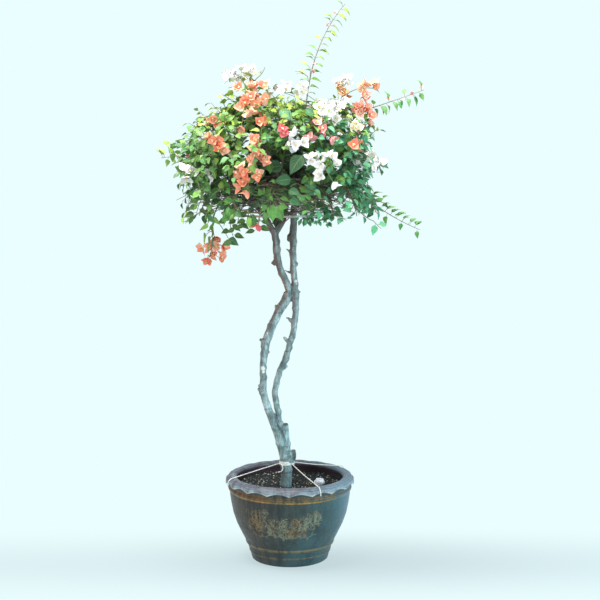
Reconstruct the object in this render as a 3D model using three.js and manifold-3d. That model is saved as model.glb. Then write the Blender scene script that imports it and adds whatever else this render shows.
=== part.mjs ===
// Potted bougainvillea: twin bare stems under a leafy crown, in a glazed pot with a scalloped lip.
// Millimetres, +Z up, the origin at the centre of the pot's foot, the front of the pot towards -Y.

import * as THREE from 'three';
import { mergeVertices } from 'three/addons/utils/BufferGeometryUtils.js';
import Module from 'manifold-3d';

// What keeps two touching pieces apart, and the first value of the seeded draw
const seatGap = 0.3;
const drawSeed = 28;

// Glazed pot: the outside from the foot up, the lip, then the inside down to the floor, as [radius, height]
const pot = {
  turns: 36,
  outside: [[149, 0], [153, 5], [176, 60], [183, 68], [181, 77], [205, 125], [226, 187], [239, 268], [245, 286], [241, 303]],
  lipTop: [235, 336],
  lipInside: [210, 329],
  inside: [[212, 314], [221, 300], [220, 250], [192, 146], [138, 20]],
  scallops: 18,
  edgeUnder: { low: [249, 306], high: [247, 312] },
  edgeOver: { low: [252, 312], high: [257, 322] },
  drains: 3,
  drainRadius: 8,
  drainRing: 70,
};

// Soil that fills the pot: its top rises a little towards the stems
const soil = { top: 295, middle: 299, flatFrom: 165, flatTo: 85 };
const whiteStone = { at: [123, -52], length: 36, width: 25, height: 19 };

// The two stems, as [x, y, z, diameter] from the soil upwards
const leftStem = [
  [-15, -42, 262, 48], [-15, -42, 300, 47], [-13, -42, 336, 45], [-15, -40, 384, 45], [-21, -34, 437, 50],
  [-52, -24, 520, 35], [-90, -20, 610, 30], [-104, -20, 675, 29], [-107, -20, 761, 27], [-97, -20, 840, 29],
  [-80, -20, 905, 28], [-52, -20, 970, 29], [-38, -20, 1003, 30], [-12, -22, 1035, 28], [-4, -22, 1068, 25],
  [-12, -20, 1100, 28], [-40, -20, 1165, 26], [-52, -20, 1229, 28], [-57, -20, 1290, 29],
];
const rightStem = [
  [-16, -36, 425, 30], [-15, -26, 462, 33], [-23, -12, 505, 28], [-42, 0, 550, 24], [-52, 0, 606, 24],
  [-59, 0, 660, 24], [-52, 0, 715, 24], [-26, 0, 780, 25], [-5, 0, 834, 24], [16, 0, 920, 24],
  [23, 0, 990, 25], [23, 0, 1033, 29], [19, 0, 1098, 25], [14, 0, 1163, 25], [13, 0, 1228, 26],
  [13, 0, 1293, 29], [16, 0, 1330, 27], [15, 0, 1378, 27],
];

// Cut stubs and knots on the stems, as [from, to, radius at the foot, radius at the end]
const stubs = [
  [[-24, -36, 452], [-26, -40, 531], 15, 10],
  [[-12, -50, 408], [4, -74, 436], 13, 8],
  [[15, 0, 865], [-28, -8, 882], 5, 3],
  [[20, 0, 950], [-16, -6, 962], 5, 3],
  [[18, 0, 1132], [-20, -6, 1148], 5, 2.5],
  [[14, 0, 1212], [-14, -6, 1232], 5, 2.5],
  [[13, 0, 1262], [-9, -8, 1270], 11, 8],
  [[23, 0, 1060], [44, -4, 1064], 5, 3],
  [[-104, -20, 872], [-118, -24, 879], 8, 5],
  [[-107, -20, 690], [-125, -24, 696], 8, 5],
  [[-57, -20, 1172], [-71, -24, 1180], 8, 5],
  [[-57, -20, 1290], [-74, -24, 1302], 9, 6],
];

// Limbs inside the crown, as a start, a bend, an end and the radius at each end
const limbs = {
  left: [[-57, -20, 1288], [-120, 18, 1420], [-235, -25, 1500], 13.5, 7],
  fork: [[-57, -20, 1288], [30, 16, 1392], [-45, -215, 1530], 12.5, 6],
  leader: [[15, 0, 1374], [30, -10, 1500], [-5, -5, 1665], 13.4, 5],
  southWest: [[-133, 4, 1409], [-160, -80, 1430], [-205, -190, 1510], 8, 5.5],
  northWest: [[-118, 3, 1398], [-140, 80, 1440], [-190, 165, 1525], 8, 5.5],
  southEast: [[17, -2, 1415], [95, -60, 1440], [140, -175, 1525], 9, 5.5],
  east: [[19, -3, 1440], [110, 10, 1465], [205, 0, 1545], 9, 5.5],
  northEast: [[20, -4, 1462], [80, 80, 1480], [145, 165, 1550], 8.5, 5.5],
  north: [[19, -5, 1490], [-10, 110, 1500], [-45, 195, 1560], 8.5, 5.5],
  topLeft: [[17, -6, 1515], [-50, -10, 1600], [-135, -45, 1700], 8, 5],
  topRight: [[14, -6, 1550], [50, 0, 1640], [130, -30, 1720], 8, 5],
};

// Training frame of bent rod below the crown: a ring with two cross bars, which pass behind and between the stems
const frame = { centre: [-34, 0], radius: 228, height: 1371, rod: 4, backBar: 18.1, sideBar: -52 };
const tie = { wire: 1.3, rise: 15 };

// Guy string: one turn round the foot of the trunk, three strands that go over the lip and hang down a little,
// and a loose curled tail. Each strand leaves the turn at its start. overLip is [radius, height].
const string = {
  radius: 2,
  turn: { centre: [-15.5, -39.5, 391], radius: 25.6 },
  strands: [
    { start: [[-40, -47, 390]], middle: [-134, -66, 364], angle: 200 },
    { start: [[2, -58, 390], [9, -60, 389]], middle: [58, -135, 362], angle: 297.5 },
    { start: [[9, -34, 391], [14, -32, 391]], middle: [100, 40, 364], angle: 31 },
  ],
  overLip: [[235, 339.4], [251, 333], [261, 322], [261.5, 305]],
  tail: [[-34, -58, 391], [-32, -68, 388], [-27, -71, 377], [-32, -72, 365], [-45, -70, 359]],
};

// The crown is a dome: twigs and blades lie along it
const crown = { centre: [-42, 0, 1530], half: [400, 370, 300] };

// Leafy sprays: the limb and how far along it each starts, a bend, a tip, and its blades.
// fan is the number of side twigs, nodes where blades and side twigs stand, and size a blade's length.
const sprays = {
  leftLow: { limb: 'left', at: 0.9, bend: [-350, -40, 1520], tip: [-400, -40, 1375], fan: 2, nodes: 5, size: 88 },
  leftTip: { limb: 'left', at: 1, bend: [-360, -30, 1610], tip: [-490, -55, 1584], fan: 2, nodes: 5, size: 64 },
  hangingLeft: { limb: 'left', at: 0.72, bend: [-300, -90, 1450], tip: [-296, -78, 1290], fan: 2, nodes: 4, size: 70 },
  leftFrontLow: { limb: 'southWest', at: 0.8, bend: [-300, -190, 1490], tip: [-335, -225, 1375], fan: 2, nodes: 4, size: 84 },
  leftFront: { limb: 'southWest', at: 1, bend: [-300, -215, 1580], tip: [-362, -212, 1520], fan: 2, nodes: 4, size: 84 },
  frontLeftLow: { limb: 'southWest', at: 0.65, bend: [-215, -280, 1490], tip: [-195, -335, 1395], fan: 2, nodes: 4, size: 88 },
  frontLeftMid: { limb: 'southWest', at: 0.92, bend: [-215, -225, 1620], tip: [-245, -262, 1612], fan: 2, nodes: 4, size: 80 },
  frontLow: { limb: 'fork', at: 0.8, bend: [-60, -310, 1510], tip: [-70, -345, 1402], fan: 2, nodes: 5, size: 92 },
  frontMidLeft: { limb: 'fork', at: 1, bend: [-85, -290, 1640], tip: [-104, -322, 1662], fan: 2, nodes: 4, size: 80 },
  frontMid: { limb: 'fork', at: 0.93, bend: [-10, -250, 1640], tip: [-20, -305, 1668], fan: 2, nodes: 4, size: 88 },
  frontRightLow: { limb: 'southEast', at: 0.75, bend: [100, -290, 1490], tip: [95, -335, 1405], fan: 2, nodes: 5, size: 88 },
  frontMidRight: { limb: 'southEast', at: 0.95, bend: [100, -260, 1610], tip: [110, -315, 1592], fan: 2, nodes: 4, size: 84 },
  rightFrontLow: { limb: 'southEast', at: 0.88, bend: [230, -230, 1500], tip: [250, -260, 1375], fan: 2, nodes: 5, size: 84 },
  rightFrontMid: { limb: 'southEast', at: 1, bend: [215, -190, 1600], tip: [238, -225, 1606], fan: 2, nodes: 4, size: 80 },
  rightLow: { limb: 'east', at: 0.85, bend: [290, -130, 1510], tip: [325, -150, 1385], fan: 2, nodes: 5, size: 84 },
  rightTrail: { limb: 'east', at: 1, bend: [290, -5, 1395], tip: [503, -40, 1308], fan: 1, nodes: 11, size: 56 },
  rightMid: { limb: 'east', at: 0.95, bend: [300, 60, 1620], tip: [352, 60, 1545], fan: 2, nodes: 5, size: 80 },
  rightBackLow: { limb: 'northEast', at: 0.8, bend: [240, 200, 1490], tip: [265, 215, 1375], fan: 3, nodes: 7, size: 94 },
  backRightMid: { limb: 'northEast', at: 1, bend: [190, 240, 1640], tip: [220, 270, 1570], fan: 3, nodes: 7, size: 90 },
  backLow: { limb: 'north', at: 0.85, bend: [0, 300, 1500], tip: [60, 350, 1380], fan: 3, nodes: 7, size: 98 },
  backMid: { limb: 'north', at: 1, bend: [-60, 290, 1660], tip: [-70, 350, 1590], fan: 3, nodes: 7, size: 90 },
  leftBackLow: { limb: 'northWest', at: 0.8, bend: [-245, 225, 1495], tip: [-215, 300, 1380], fan: 3, nodes: 7, size: 98 },
  backLeftMid: { limb: 'northWest', at: 1, bend: [-270, 220, 1620], tip: [-320, 225, 1550], fan: 3, nodes: 7, size: 90 },
  topLeftFront: { limb: 'topLeft', at: 1, bend: [-120, -70, 1770], tip: [-125, -110, 1790], fan: 2, nodes: 4, size: 80 },
  topLeft: { limb: 'topLeft', at: 0.85, bend: [-220, -30, 1760], tip: [-285, -90, 1720], fan: 2, nodes: 5, size: 82 },
  plume: { limb: 'topLeft', at: 0.93, bend: [-130, 0, 1800], tip: [-165, -30, 1848], fan: 2, nodes: 4, size: 72 },
  topFrontRight: { limb: 'topRight', at: 0.75, bend: [90, -170, 1760], tip: [118, -250, 1705], fan: 2, nodes: 5, size: 82 },
  rightTop: { limb: 'topRight', at: 0.9, bend: [190, 10, 1790], tip: [238, -30, 1765], fan: 2, nodes: 4, size: 78 },
  topBack: { limb: 'leader', at: 1, bend: [-20, 90, 1810], tip: [-10, 205, 1770], fan: 3, nodes: 7, size: 86 },
  topShoot: { limb: 'topRight', at: 0.5, bend: [47, -40, 1979], tip: [210, -40, 2163], fan: 2, nodes: 13, size: 54 },
  rightShoot: { limb: 'topRight', at: 1, bend: [300, -40, 1765], tip: [512, -40, 1842], fan: 0, nodes: 11, size: 52 },
};

// Flowering stalks: the spray and how far along it each starts, a bend, a tip, the colour and the number of flowers
// in each whorl round the stalk, besides the one at its tip
const blooms = {
  orangeCrest: { spray: 'topLeftFront', at: 1, bend: [-140, -190, 1860], tip: [-175, -265, 1705], colour: 'orange', whorls: [4, 3] },
  orangeLeft: { spray: 'frontLeftMid', at: 1, bend: [-262, -290, 1640], tip: [-290, -290, 1660], colour: 'orange', whorls: [2] },
  orangeLeftHigh: { spray: 'topLeft', at: 1, bend: [-300, -130, 1730], tip: [-285, -180, 1728], colour: 'orange', whorls: [1] },
  orangeChain: { spray: 'frontMidLeft', at: 1, bend: [-100, -385, 1600], tip: [-155, -365, 1475], colour: 'orange', whorls: [4, 3] },
  orangeHanging: { spray: 'hangingLeft', at: 1, bend: [-296, -70, 1230], tip: [-312, -50, 1200], colour: 'orange', whorls: [4] },
  orangeRight: { spray: 'rightTop', at: 1, bend: [285, -50, 1790], tip: [275, -50, 1715], colour: 'orange', whorls: [3] },
  orangeRightHigh: { spray: 'rightTop', at: 0.44, bend: [215, -30, 1862], tip: [318, -40, 1848], colour: 'orange', whorls: [4] },
  orangeRightLow: { spray: 'rightFrontMid', at: 1, bend: [240, -245, 1620], tip: [238, -265, 1630], colour: 'orange', whorls: [1] },
  redFront: { spray: 'frontMid', at: 1, bend: [-22, -320, 1680], tip: [-22, -338, 1690], colour: 'red', whorls: [1] },
  redRight: { spray: 'topFrontRight', at: 1, bend: [130, -285, 1700], tip: [155, -305, 1665], colour: 'red', whorls: [2] },
  redLow: { spray: 'frontLow', at: 0.72, bend: [-105, -320, 1420], tip: [-114, -315, 1350], colour: 'red', whorls: [] },
  whitePlume: { spray: 'plume', at: 1, bend: [-175, -40, 1905], tip: [-228, -48, 1885], colour: 'white', whorls: [4] },
  whiteFront: { spray: 'frontMidRight', at: 1, bend: [95, -385, 1610], tip: [160, -362, 1505], colour: 'white', whorls: [3, 2] },
  whiteMid: { spray: 'frontMid', at: 0.65, bend: [30, -290, 1650], tip: [48, -345, 1648], colour: 'white', whorls: [2] },
  whiteLeft: { spray: 'leftFront', at: 1, bend: [-395, -220, 1520], tip: [-385, -262, 1545], colour: 'white', whorls: [3] },
  whiteTop: { spray: 'topFrontRight', at: 0.416, bend: [110, -110, 1830], tip: [195, -90, 1800], colour: 'white', whorls: [4] },
  creamRight: { spray: 'topFrontRight', at: 0.72, bend: [175, -165, 1765], tip: [230, -150, 1718], colour: 'cream', whorls: [1] },
  whiteRight: { spray: 'rightFrontMid', at: 0.65, bend: [270, -200, 1580], tip: [305, -215, 1560], colour: 'white', whorls: [2] },
  orangeBack: { spray: 'backMid', at: 1, bend: [-80, 395, 1560], tip: [-110, 375, 1500], colour: 'orange', whorls: [4] },
  whiteBack: { spray: 'backRightMid', at: 1, bend: [240, 300, 1550], tip: [250, 300, 1500], colour: 'white', whorls: [3] },
  redBack: { spray: 'backLeftMid', at: 1, bend: [-350, 235, 1530], tip: [-360, 250, 1500], colour: 'red', whorls: [2] },
};

// Shapes of the twigs, blades and flowers. An outline is [along, across, up] in shares of the blade's size.
const twig = {
  root: 4, tip: 2, nodeLength: 5, sideLength: 118, sideRoot: 2.6, sideTip: 1.8, stalkRoot: 2, stalkTip: 1.8,
};
const blade = {
  widthShare: 0.68,
  thickness: 2.2,
  arch: 0.14,
  room: 1,
  roomFrom: 4,
  tries: 14,
  outline: [[0.34, -1, 0.3], [0.68, -0.76, 0.1], [1, 0, -1], [0.68, 0.76, 0.1], [0.34, 1, 0.3]],
};
const flower = { lobes: 3, waist: [5, 9], shoulder: [22, 28], tip: [33, 39], throat: 12 };

// Finishes, as colour, roughness and metalness
const finishes = {
  glaze: [0x2f4448, 0.3, 0],
  soil: [0x2f2620, 0.95, 0],
  stone: [0xe8e6e0, 0.8, 0],
  bark: [0x7d857f, 0.85, 0],
  rod: [0x9a8f86, 0.6, 0.3],
  string: [0xf2f0ea, 0.8, 0],
  leaf: [0x3f7a3a, 0.5, 0],
  orange: [0xf58a68, 0.6, 0],
  red: [0xe8465a, 0.6, 0],
  white: [0xf7f1f3, 0.6, 0],
  cream: [0xf6efd2, 0.6, 0],
};

const wasm = await Module();
wasm.setup();

const point = (place) => new THREE.Vector3(...place);
const degrees = THREE.MathUtils.degToRad;

// Seeded draw of numbers from 0 to 1
let drawState = drawSeed;
function draw() {
  drawState = (drawState * 1664525 + 1013904223) % 4294967296;
  return drawState / 4294967296;
}

// A closed geometry as a solid that can be joined and cut
function solidOf(geometry) {
  geometry.deleteAttribute('normal');
  geometry.deleteAttribute('uv');
  const merged = mergeVertices(geometry, 1e-4);
  const corners = merged.index.array;
  const kept = [];
  for (let i = 0; i < corners.length; i += 3) {
    const [a, b, c] = corners.slice(i, i + 3);
    if (a !== b && b !== c && c !== a) kept.push(a, b, c);
  }
  const vertProperties = new Float32Array(merged.attributes.position.array);
  return new wasm.Manifold(new wasm.Mesh({ numProp: 3, vertProperties, triVerts: new Uint32Array(kept) }));
}

function geometryOf(solid) {
  const mesh = solid.getMesh();
  const geometry = new THREE.BufferGeometry();
  geometry.setAttribute('position', new THREE.BufferAttribute(new Float32Array(mesh.vertProperties), 3));
  geometry.setIndex(new THREE.BufferAttribute(new Uint32Array(mesh.triVerts), 1));
  return geometry;
}

const joined = (solids) => solids.reduce((whole, next) => whole.add(next));

// Rings across a curve, each turned as little as possible from the one before
function ringsAlong(curve, steps) {
  const rings = [];
  let side = null;
  for (let i = 0; i <= steps; i += 1) {
    const tangent = curve.getTangent(i / steps);
    if (side === null) side = new THREE.Vector3(0, 1, 0).cross(tangent);
    if (side.lengthSq() < 1e-3) side = new THREE.Vector3(1, 0, 0).cross(tangent);
    side = side.clone().addScaledVector(tangent, -side.dot(tangent)).normalize();
    const across = side.clone().cross(tangent);
    rings.push({ centre: curve.getPoint(i / steps), side, across });
  }
  return rings;
}

// A closed cylinder bent along a curve, which may run on past both its ends
function tube(curve, radiusAt, sides, steps, runOn = 0) {
  const geometry = new THREE.CylinderGeometry(1, 1, 1, sides, steps);
  const position = geometry.attributes.position;
  const rings = ringsAlong(curve, steps);
  rings[0].centre.addScaledVector(curve.getTangent(0), -runOn);
  rings[steps].centre.addScaledVector(curve.getTangent(1), runOn);
  for (let i = 0; i < position.count; i += 1) {
    const step = Math.round((position.getY(i) + 0.5) * steps);
    const ring = rings[step];
    const radius = radiusAt(step / steps);
    const place = ring.centre.clone();
    place.addScaledVector(ring.side, position.getX(i) * radius);
    place.addScaledVector(ring.across, position.getZ(i) * radius);
    position.setXYZ(i, place.x, place.y, place.z);
  }
  return solidOf(geometry);
}

const taper = (from, to) => (t) => from + (to - from) * t;
const bentLine = (from, bend, to) => new THREE.QuadraticBezierCurve3(from, bend, to);

// Pot, with its lip waved in pointed scallops
function potSolid(drained) {
  const wave = (angle) => Math.abs(Math.sin((angle * pot.scallops) / 2));
  const edges = [pot.edgeUnder, pot.edgeOver];
  const profile = [[0, 0], ...pot.outside, ...edges.map((edge) => edge.low), pot.lipTop, pot.lipInside, ...pot.inside,
    [0, pot.inside.at(-1)[1]]];
  const geometry = new THREE.LatheGeometry(profile.map(([r, z]) => new THREE.Vector2(r, z)), pot.turns);
  const position = geometry.attributes.position;
  for (let i = 0; i < position.count; i += 1) {
    const edge = edges[(i % profile.length) - 1 - pot.outside.length];
    if (edge) {
      const turn = Math.floor(i / profile.length);
      const angle = (turn / pot.turns) * 2 * Math.PI;
      const share = wave(angle);
      const radius = THREE.MathUtils.lerp(edge.low[0], edge.high[0], share);
      const height = THREE.MathUtils.lerp(edge.low[1], edge.high[1], share);
      position.setXYZ(i, radius * Math.sin(angle), height, radius * Math.cos(angle));
    }
  }
  geometry.rotateX(Math.PI / 2);
  let solid = solidOf(geometry);
  for (let i = 0; drained && i < pot.drains; i += 1) {
    const drain = new THREE.CylinderGeometry(pot.drainRadius, pot.drainRadius, 60, 10);
    const angle = (i / pot.drains) * 2 * Math.PI;
    drain.rotateX(Math.PI / 2);
    drain.translate(pot.drainRing * Math.cos(angle), pot.drainRing * Math.sin(angle), 10);
    solid = solid.subtract(solidOf(drain));
  }
  return solid;
}

// Trunk: both stems, their stubs and the limbs of the crown in one piece. grown makes it thicker all round.
function stemSolid(stations, grown) {
  const curve = new THREE.CatmullRomCurve3(stations.map((station) => point(station.slice(0, 3))));
  const last = stations.length - 1;
  const radiusAt = (t) => stations[Math.round(t * last)][3] / 2 + grown;
  return tube(curve, radiusAt, 7, last, grown);
}

const limbCurves = Object.fromEntries(
  Object.entries(limbs).map(([name, [from, bend, to]]) => [name, bentLine(point(from), point(bend), point(to))]),
);

function trunkSolid(grown) {
  const stubSolids = stubs.map(([from, to, foot, end]) => {
    const line = new THREE.LineCurve3(point(from), point(to));
    return tube(line, (t) => taper(foot, end)(t) + grown, 4, 1, grown);
  });
  const limbSolids = Object.entries(limbs).map(([name, [, , , foot, end]]) => (
    tube(limbCurves[name], (t) => taper(foot, end)(t) + grown, 5, 4, grown)
  ));
  return joined([stemSolid(leftStem, grown), stemSolid(rightStem, grown), ...stubSolids, ...limbSolids]);
}

// Soil up to the inside of the pot, with a plain hole for the trunk
function soilSolid(trunkRoom) {
  const wall = pot.inside.slice(1).reverse().map(([r, z]) => [r - seatGap, z]);
  const [floor, ...rest] = wall;
  rest[rest.length - 1][1] = soil.top - 3;
  const profile = [[0, floor[1] + seatGap], [floor[0], floor[1] + seatGap], ...rest,
    [soil.flatFrom, soil.top], [soil.flatTo, soil.top], [0, soil.middle]];
  const geometry = new THREE.LatheGeometry(profile.map(([r, z]) => new THREE.Vector2(r, z)), pot.turns / 2);
  geometry.rotateX(Math.PI / 2);
  return solidOf(geometry).subtract(trunkRoom);
}

// Pale angular stone, flat underneath, on the soil
function stoneSolid() {
  const geometry = new THREE.IcosahedronGeometry(1, 1);
  const position = geometry.attributes.position;
  for (let i = 0; i < position.count; i += 1) {
    const [x, y, z] = [position.getX(i), position.getY(i), position.getZ(i)];
    const dent = 1 + 0.13 * Math.sin(7 * x + 3 * y) * Math.cos(5 * y - 4 * z);
    const low = Math.max(z, -0.55);
    position.setXYZ(i, (x * dent * whiteStone.length) / 2, (y * dent * whiteStone.width) / 2, low * dent * 11);
  }
  geometry.rotateZ(degrees(25));
  geometry.computeBoundingBox();
  const flat = geometry.boundingBox.min.z + 1.5;
  for (let i = 0; i < position.count; i += 1) {
    position.setZ(i, Math.max(position.getZ(i), flat));
  }
  geometry.translate(...whiteStone.at, soil.top + seatGap - flat);
  return solidOf(geometry);
}

// Training frame
function torus(centre, radius, wire, sides, steps) {
  const geometry = new THREE.TorusGeometry(radius, wire, sides, steps);
  geometry.translate(...centre);
  return solidOf(geometry);
}

function frameSolid() {
  const [x, y] = frame.centre;
  const ring = torus([x, y, frame.height], frame.radius, frame.rod, 5, 28);
  const reach = (off) => Math.sqrt(frame.radius ** 2 - off ** 2);
  const bar = (from, to) => tube(new THREE.LineCurve3(point(from), point(to)), () => frame.rod, 5, 1);
  const back = reach(frame.backBar - y);
  const side = reach(frame.sideBar - x);
  return joined([
    ring,
    bar([x - back, frame.backBar, frame.height], [x + back, frame.backBar, frame.height]),
    bar([frame.sideBar, y - side, frame.height], [frame.sideBar, y + side, frame.height]),
  ]);
}

// A tie is a tilted oval loop round a stem and the bar behind it
function tieSolid(stemCentre, stemRadius) {
  const [x, y] = stemCentre;
  const clear = stemRadius + seatGap + tie.wire;
  const behind = frame.backBar + frame.rod + seatGap + tie.wire - y;
  const geometry = new THREE.TorusGeometry(1, 0.5, 4, 12);
  const position = geometry.attributes.position;
  for (let i = 0; i < position.count; i += 1) {
    const angle = Math.atan2(position.getY(i), position.getX(i));
    const off = Math.hypot(position.getX(i), position.getY(i)) - 1;
    const wide = clear * 1.04 + off * 2 * tie.wire;
    const deep = (Math.sin(angle) > 0 ? behind : clear) + off * 2 * tie.wire;
    const place = [wide * Math.cos(angle), deep * Math.sin(angle)];
    const height = frame.height + Math.cos(angle) * tie.rise + position.getZ(i) * 2 * tie.wire;
    position.setXYZ(i, x + place[0], y + place[1], height);
  }
  return solidOf(geometry);
}

function stringSolid() {
  const { turn, radius, strands, overLip, tail } = string;
  const routes = strands.map(({ start, middle, angle }) => {
    const turned = overLip.map(([r, z]) => [r * Math.cos(degrees(angle)), r * Math.sin(degrees(angle)), z]);
    return [...start, middle, ...turned];
  });
  const strandSolids = [...routes, tail].map((route) => (
    tube(new THREE.CatmullRomCurve3(route.map(point)), () => radius, 6, route.length)
  ));
  return joined([torus(turn.centre, turn.radius, radius, 6, 14), ...strandSolids]);
}

// Direction straight out of the crown at a place
function outward(place) {
  const [x, y, z] = crown.centre;
  const [a, b, c] = crown.half;
  return new THREE.Vector3((place.x - x) / a ** 2, (place.y - y) / b ** 2, (place.z - z) / c ** 2).normalize();
}

// A closed mesh that grows from ring to ring. Corners of a ring run anticlockwise, seen from its tip.
class Growth {
  places = [];

  faces = [];

  add(places) {
    this.places.push(...places);
    return places.map((_, k) => this.places.length - places.length + k);
  }

  ring({ centre, side, across }, radius, count) {
    return this.add(Array.from({ length: count }, (_, k) => {
      const angle = (2 * Math.PI * k) / count;
      const place = centre.clone().addScaledVector(side, radius * Math.cos(angle));
      return place.addScaledVector(across, radius * Math.sin(angle));
    }));
  }

  // Joins two rings. The sides named in open are left out and returned as mouths, from which arms grow.
  bridge(lower, upper, open = []) {
    const mouths = [];
    lower.forEach((_, k) => {
      const next = (k + 1) % lower.length;
      const mouth = [lower[k], lower[next], upper[next], upper[k]];
      if (open.includes(k)) mouths.push({ k, mouth });
      else this.close(mouth);
    });
    return mouths;
  }

  // Joins a ring to an outline with more corners
  spread(ring, outline) {
    const partner = (i) => Math.floor((i * ring.length) / outline.length);
    outline.forEach((corner, i) => {
      const next = (i + 1) % outline.length;
      const from = ring[partner(i)];
      const to = ring[partner(next)];
      this.faces.push([from, outline[next], corner]);
      if (from !== to) this.faces.push([from, to, outline[next]]);
    });
  }

  fan(middle, edge) {
    edge.forEach((corner, i) => this.faces.push([middle, corner, edge[(i + 1) % edge.length]]));
  }

  close(ring) {
    for (let k = 1; k < ring.length - 1; k += 1) this.faces.push([ring[0], ring[k], ring[k + 1]]);
  }

  middle(ring) {
    return ring.reduce((sum, k) => sum.add(this.places[k]), new THREE.Vector3()).divideScalar(ring.length);
  }

  solid() {
    const geometry = new THREE.BufferGeometry();
    const positions = this.places.flatMap((place) => place.toArray());
    geometry.setAttribute('position', new THREE.Float32BufferAttribute(positions, 3));
    geometry.setIndex(this.faces.flat());
    return solidOf(geometry);
  }
}

// Frames at stops along a curve, each halfway between the straight stretches before and after it. Their side is given
// at one end and turns as little as possible from there on.
function framesAt(curve, stops, side, fromTip) {
  const centres = stops.map((t) => curve.getPoint(t));
  const towards = (i) => centres[i + 1].clone().sub(centres[i]).normalize();
  const last = stops.length - 1;
  const frames = centres.map((centre, i) => {
    if (i === 0) return { centre, tangent: curve.getTangent(stops[0]) };
    return { centre, tangent: i === last ? towards(i - 1) : towards(i - 1).add(towards(i)).normalize() };
  });
  let turned = side;
  for (const frame of fromTip ? [...frames].reverse() : frames) {
    turned = turned.clone().addScaledVector(frame.tangent, -turned.dot(frame.tangent)).normalize();
    frame.side = turned;
    frame.across = frame.tangent.clone().cross(turned);
  }
  return frames;
}

// Where the rings of a twig lie along its curve: at its root, if it is rooted, round each node and at its tip
function twigStops(curve, places, rooted) {
  const nodeHalf = twig.nodeLength / 2 / curve.getLength();
  const pairs = places.flatMap((t) => [t - nodeHalf, t + nodeHalf]);
  return [...(rooted ? [0] : []), ...(places.length ? [places[0] / 2] : [0.25, 0.6]), ...pairs, 1];
}

// Grows a twig from a mouth, or from a closed root where first is left out. Each node is a short stretch between two
// rings, with arms that face a way; end carries the twig on, or null closes it.
function growTwig(growth, { curve, radiusAt, sides, first = null, rootSide = null, nodes, end }) {
  const nodeHalf = twig.nodeLength / 2 / curve.getLength();
  const stops = twigStops(curve, nodes.map(({ t }) => t), first === null);
  const frames = framesAt(curve, stops, rootSide ?? outward(curve.getPoint(1)), rootSide === null);
  let lower = first;
  frames.forEach((ring, i) => {
    let upper = growth.ring(ring, radiusAt(stops[i]), sides);
    if (lower === null) {
      growth.close([...upper].reverse());
    } else {
      upper = nearest(growth, lower, upper);
      const node = nodes.find(({ t }) => t + nodeHalf === stops[i]);
      const arms = (node ? node.arms : []).map((arm) => ({ arm, k: sideTowards(growth, ring, upper, lower, arm.facing) }));
      const mouths = growth.bridge(lower, upper, arms.map(({ k }) => k));
      mouths.forEach(({ k, mouth }) => arms.find((one) => one.k === k).arm.grow(mouth, ring));
    }
    lower = upper;
  });
  if (end) end(lower, frames.at(-1));
  else growth.close(lower);
}

// The same ring, counted from the corner that lies nearest to the first of the other
function nearest(growth, lower, upper) {
  const turned = upper.map((_, shift) => [...upper.slice(shift), ...upper.slice(0, shift)]);
  const apartBy = (ring) => ring.reduce((sum, k, i) => sum + growth.places[k].distanceTo(growth.places[lower[i]]), 0);
  return turned.sort((a, b) => apartBy(a) - apartBy(b))[0];
}

function sideTowards(growth, ring, upper, lower, facing) {
  const wanted = ring.across.clone().multiplyScalar(facing.left).addScaledVector(ring.side, facing.out);
  const share = (k) => {
    const next = (k + 1) % upper.length;
    const mouth = growth.middle([lower[k], lower[next], upper[next], upper[k]]);
    return mouth.sub(growth.middle([...lower, ...upper])).dot(wanted);
  };
  return upper.map((_, k) => k).sort((a, b) => share(b) - share(a))[0];
}

// A blade is folded along its rib and arched, with a thin edge. These are its corners past the mouth it grows from,
// with room left all round them.
function bladePlaces(base, { along, normal, length }, room = 0) {
  const left = normal.clone().cross(along).normalize();
  const up = along.clone().cross(left);
  const half = (length * blade.widthShare) / 2 + room;
  const arch = length * blade.arch;
  const place = ([a, b, c], lift = 0) => base.clone().addScaledVector(along, a * length + (a === 1 ? room : 0))
    .addScaledVector(left, b * half).addScaledVector(up, c * arch + lift);
  const rib = [0.5, 0, -0.1];
  const lift = blade.thickness / 2 + room;
  const outline = blade.outline.map((one) => place(one));
  return { outline, top: place(rib, lift), bottom: place(rib, -lift), left, up, half };
}

function growBlade(growth, mouth, base, shape, room = 0) {
  const { outline, top, bottom, left, up } = bladePlaces(base, shape, room);
  const low = (k) => growth.places[k].clone().sub(base).dot(left.clone().add(up));
  const start = mouth.map((k, i) => [low(k), i]).sort((a, b) => a[0] - b[0])[0][1];
  const [rightLow, leftLow, leftHigh, rightHigh] = [...mouth.slice(start), ...mouth.slice(0, start)];
  const edge = growth.add(outline);
  const [topRib, bottomRib] = growth.add([top, bottom]);
  growth.fan(topRib, [rightHigh, ...edge, leftHigh]);
  growth.fan(bottomRib, [leftLow, ...[...edge].reverse(), rightLow]);
  growth.faces.push([rightLow, edge[0], rightHigh], [leftHigh, edge.at(-1), leftLow]);
}

// What a blade must have free, from a little way off its mouth: the blade itself, with room all round
function bladeGuard(corners, base, shape, off) {
  const growth = new Growth();
  const { left, half } = bladePlaces(base, shape, blade.room);
  const wider = ((half - twig.nodeLength / 2) * off) / (blade.outline[0][0] * shape.length);
  const mouth = growth.add(corners.map((corner) => {
    const side = Math.sign(corner.clone().sub(base).dot(left));
    return corner.clone().addScaledVector(shape.along, off).addScaledVector(left, side * wider);
  }));
  growBlade(growth, mouth, base, shape, blade.room);
  growth.close([...mouth].reverse());
  return growth.solid();
}

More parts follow.
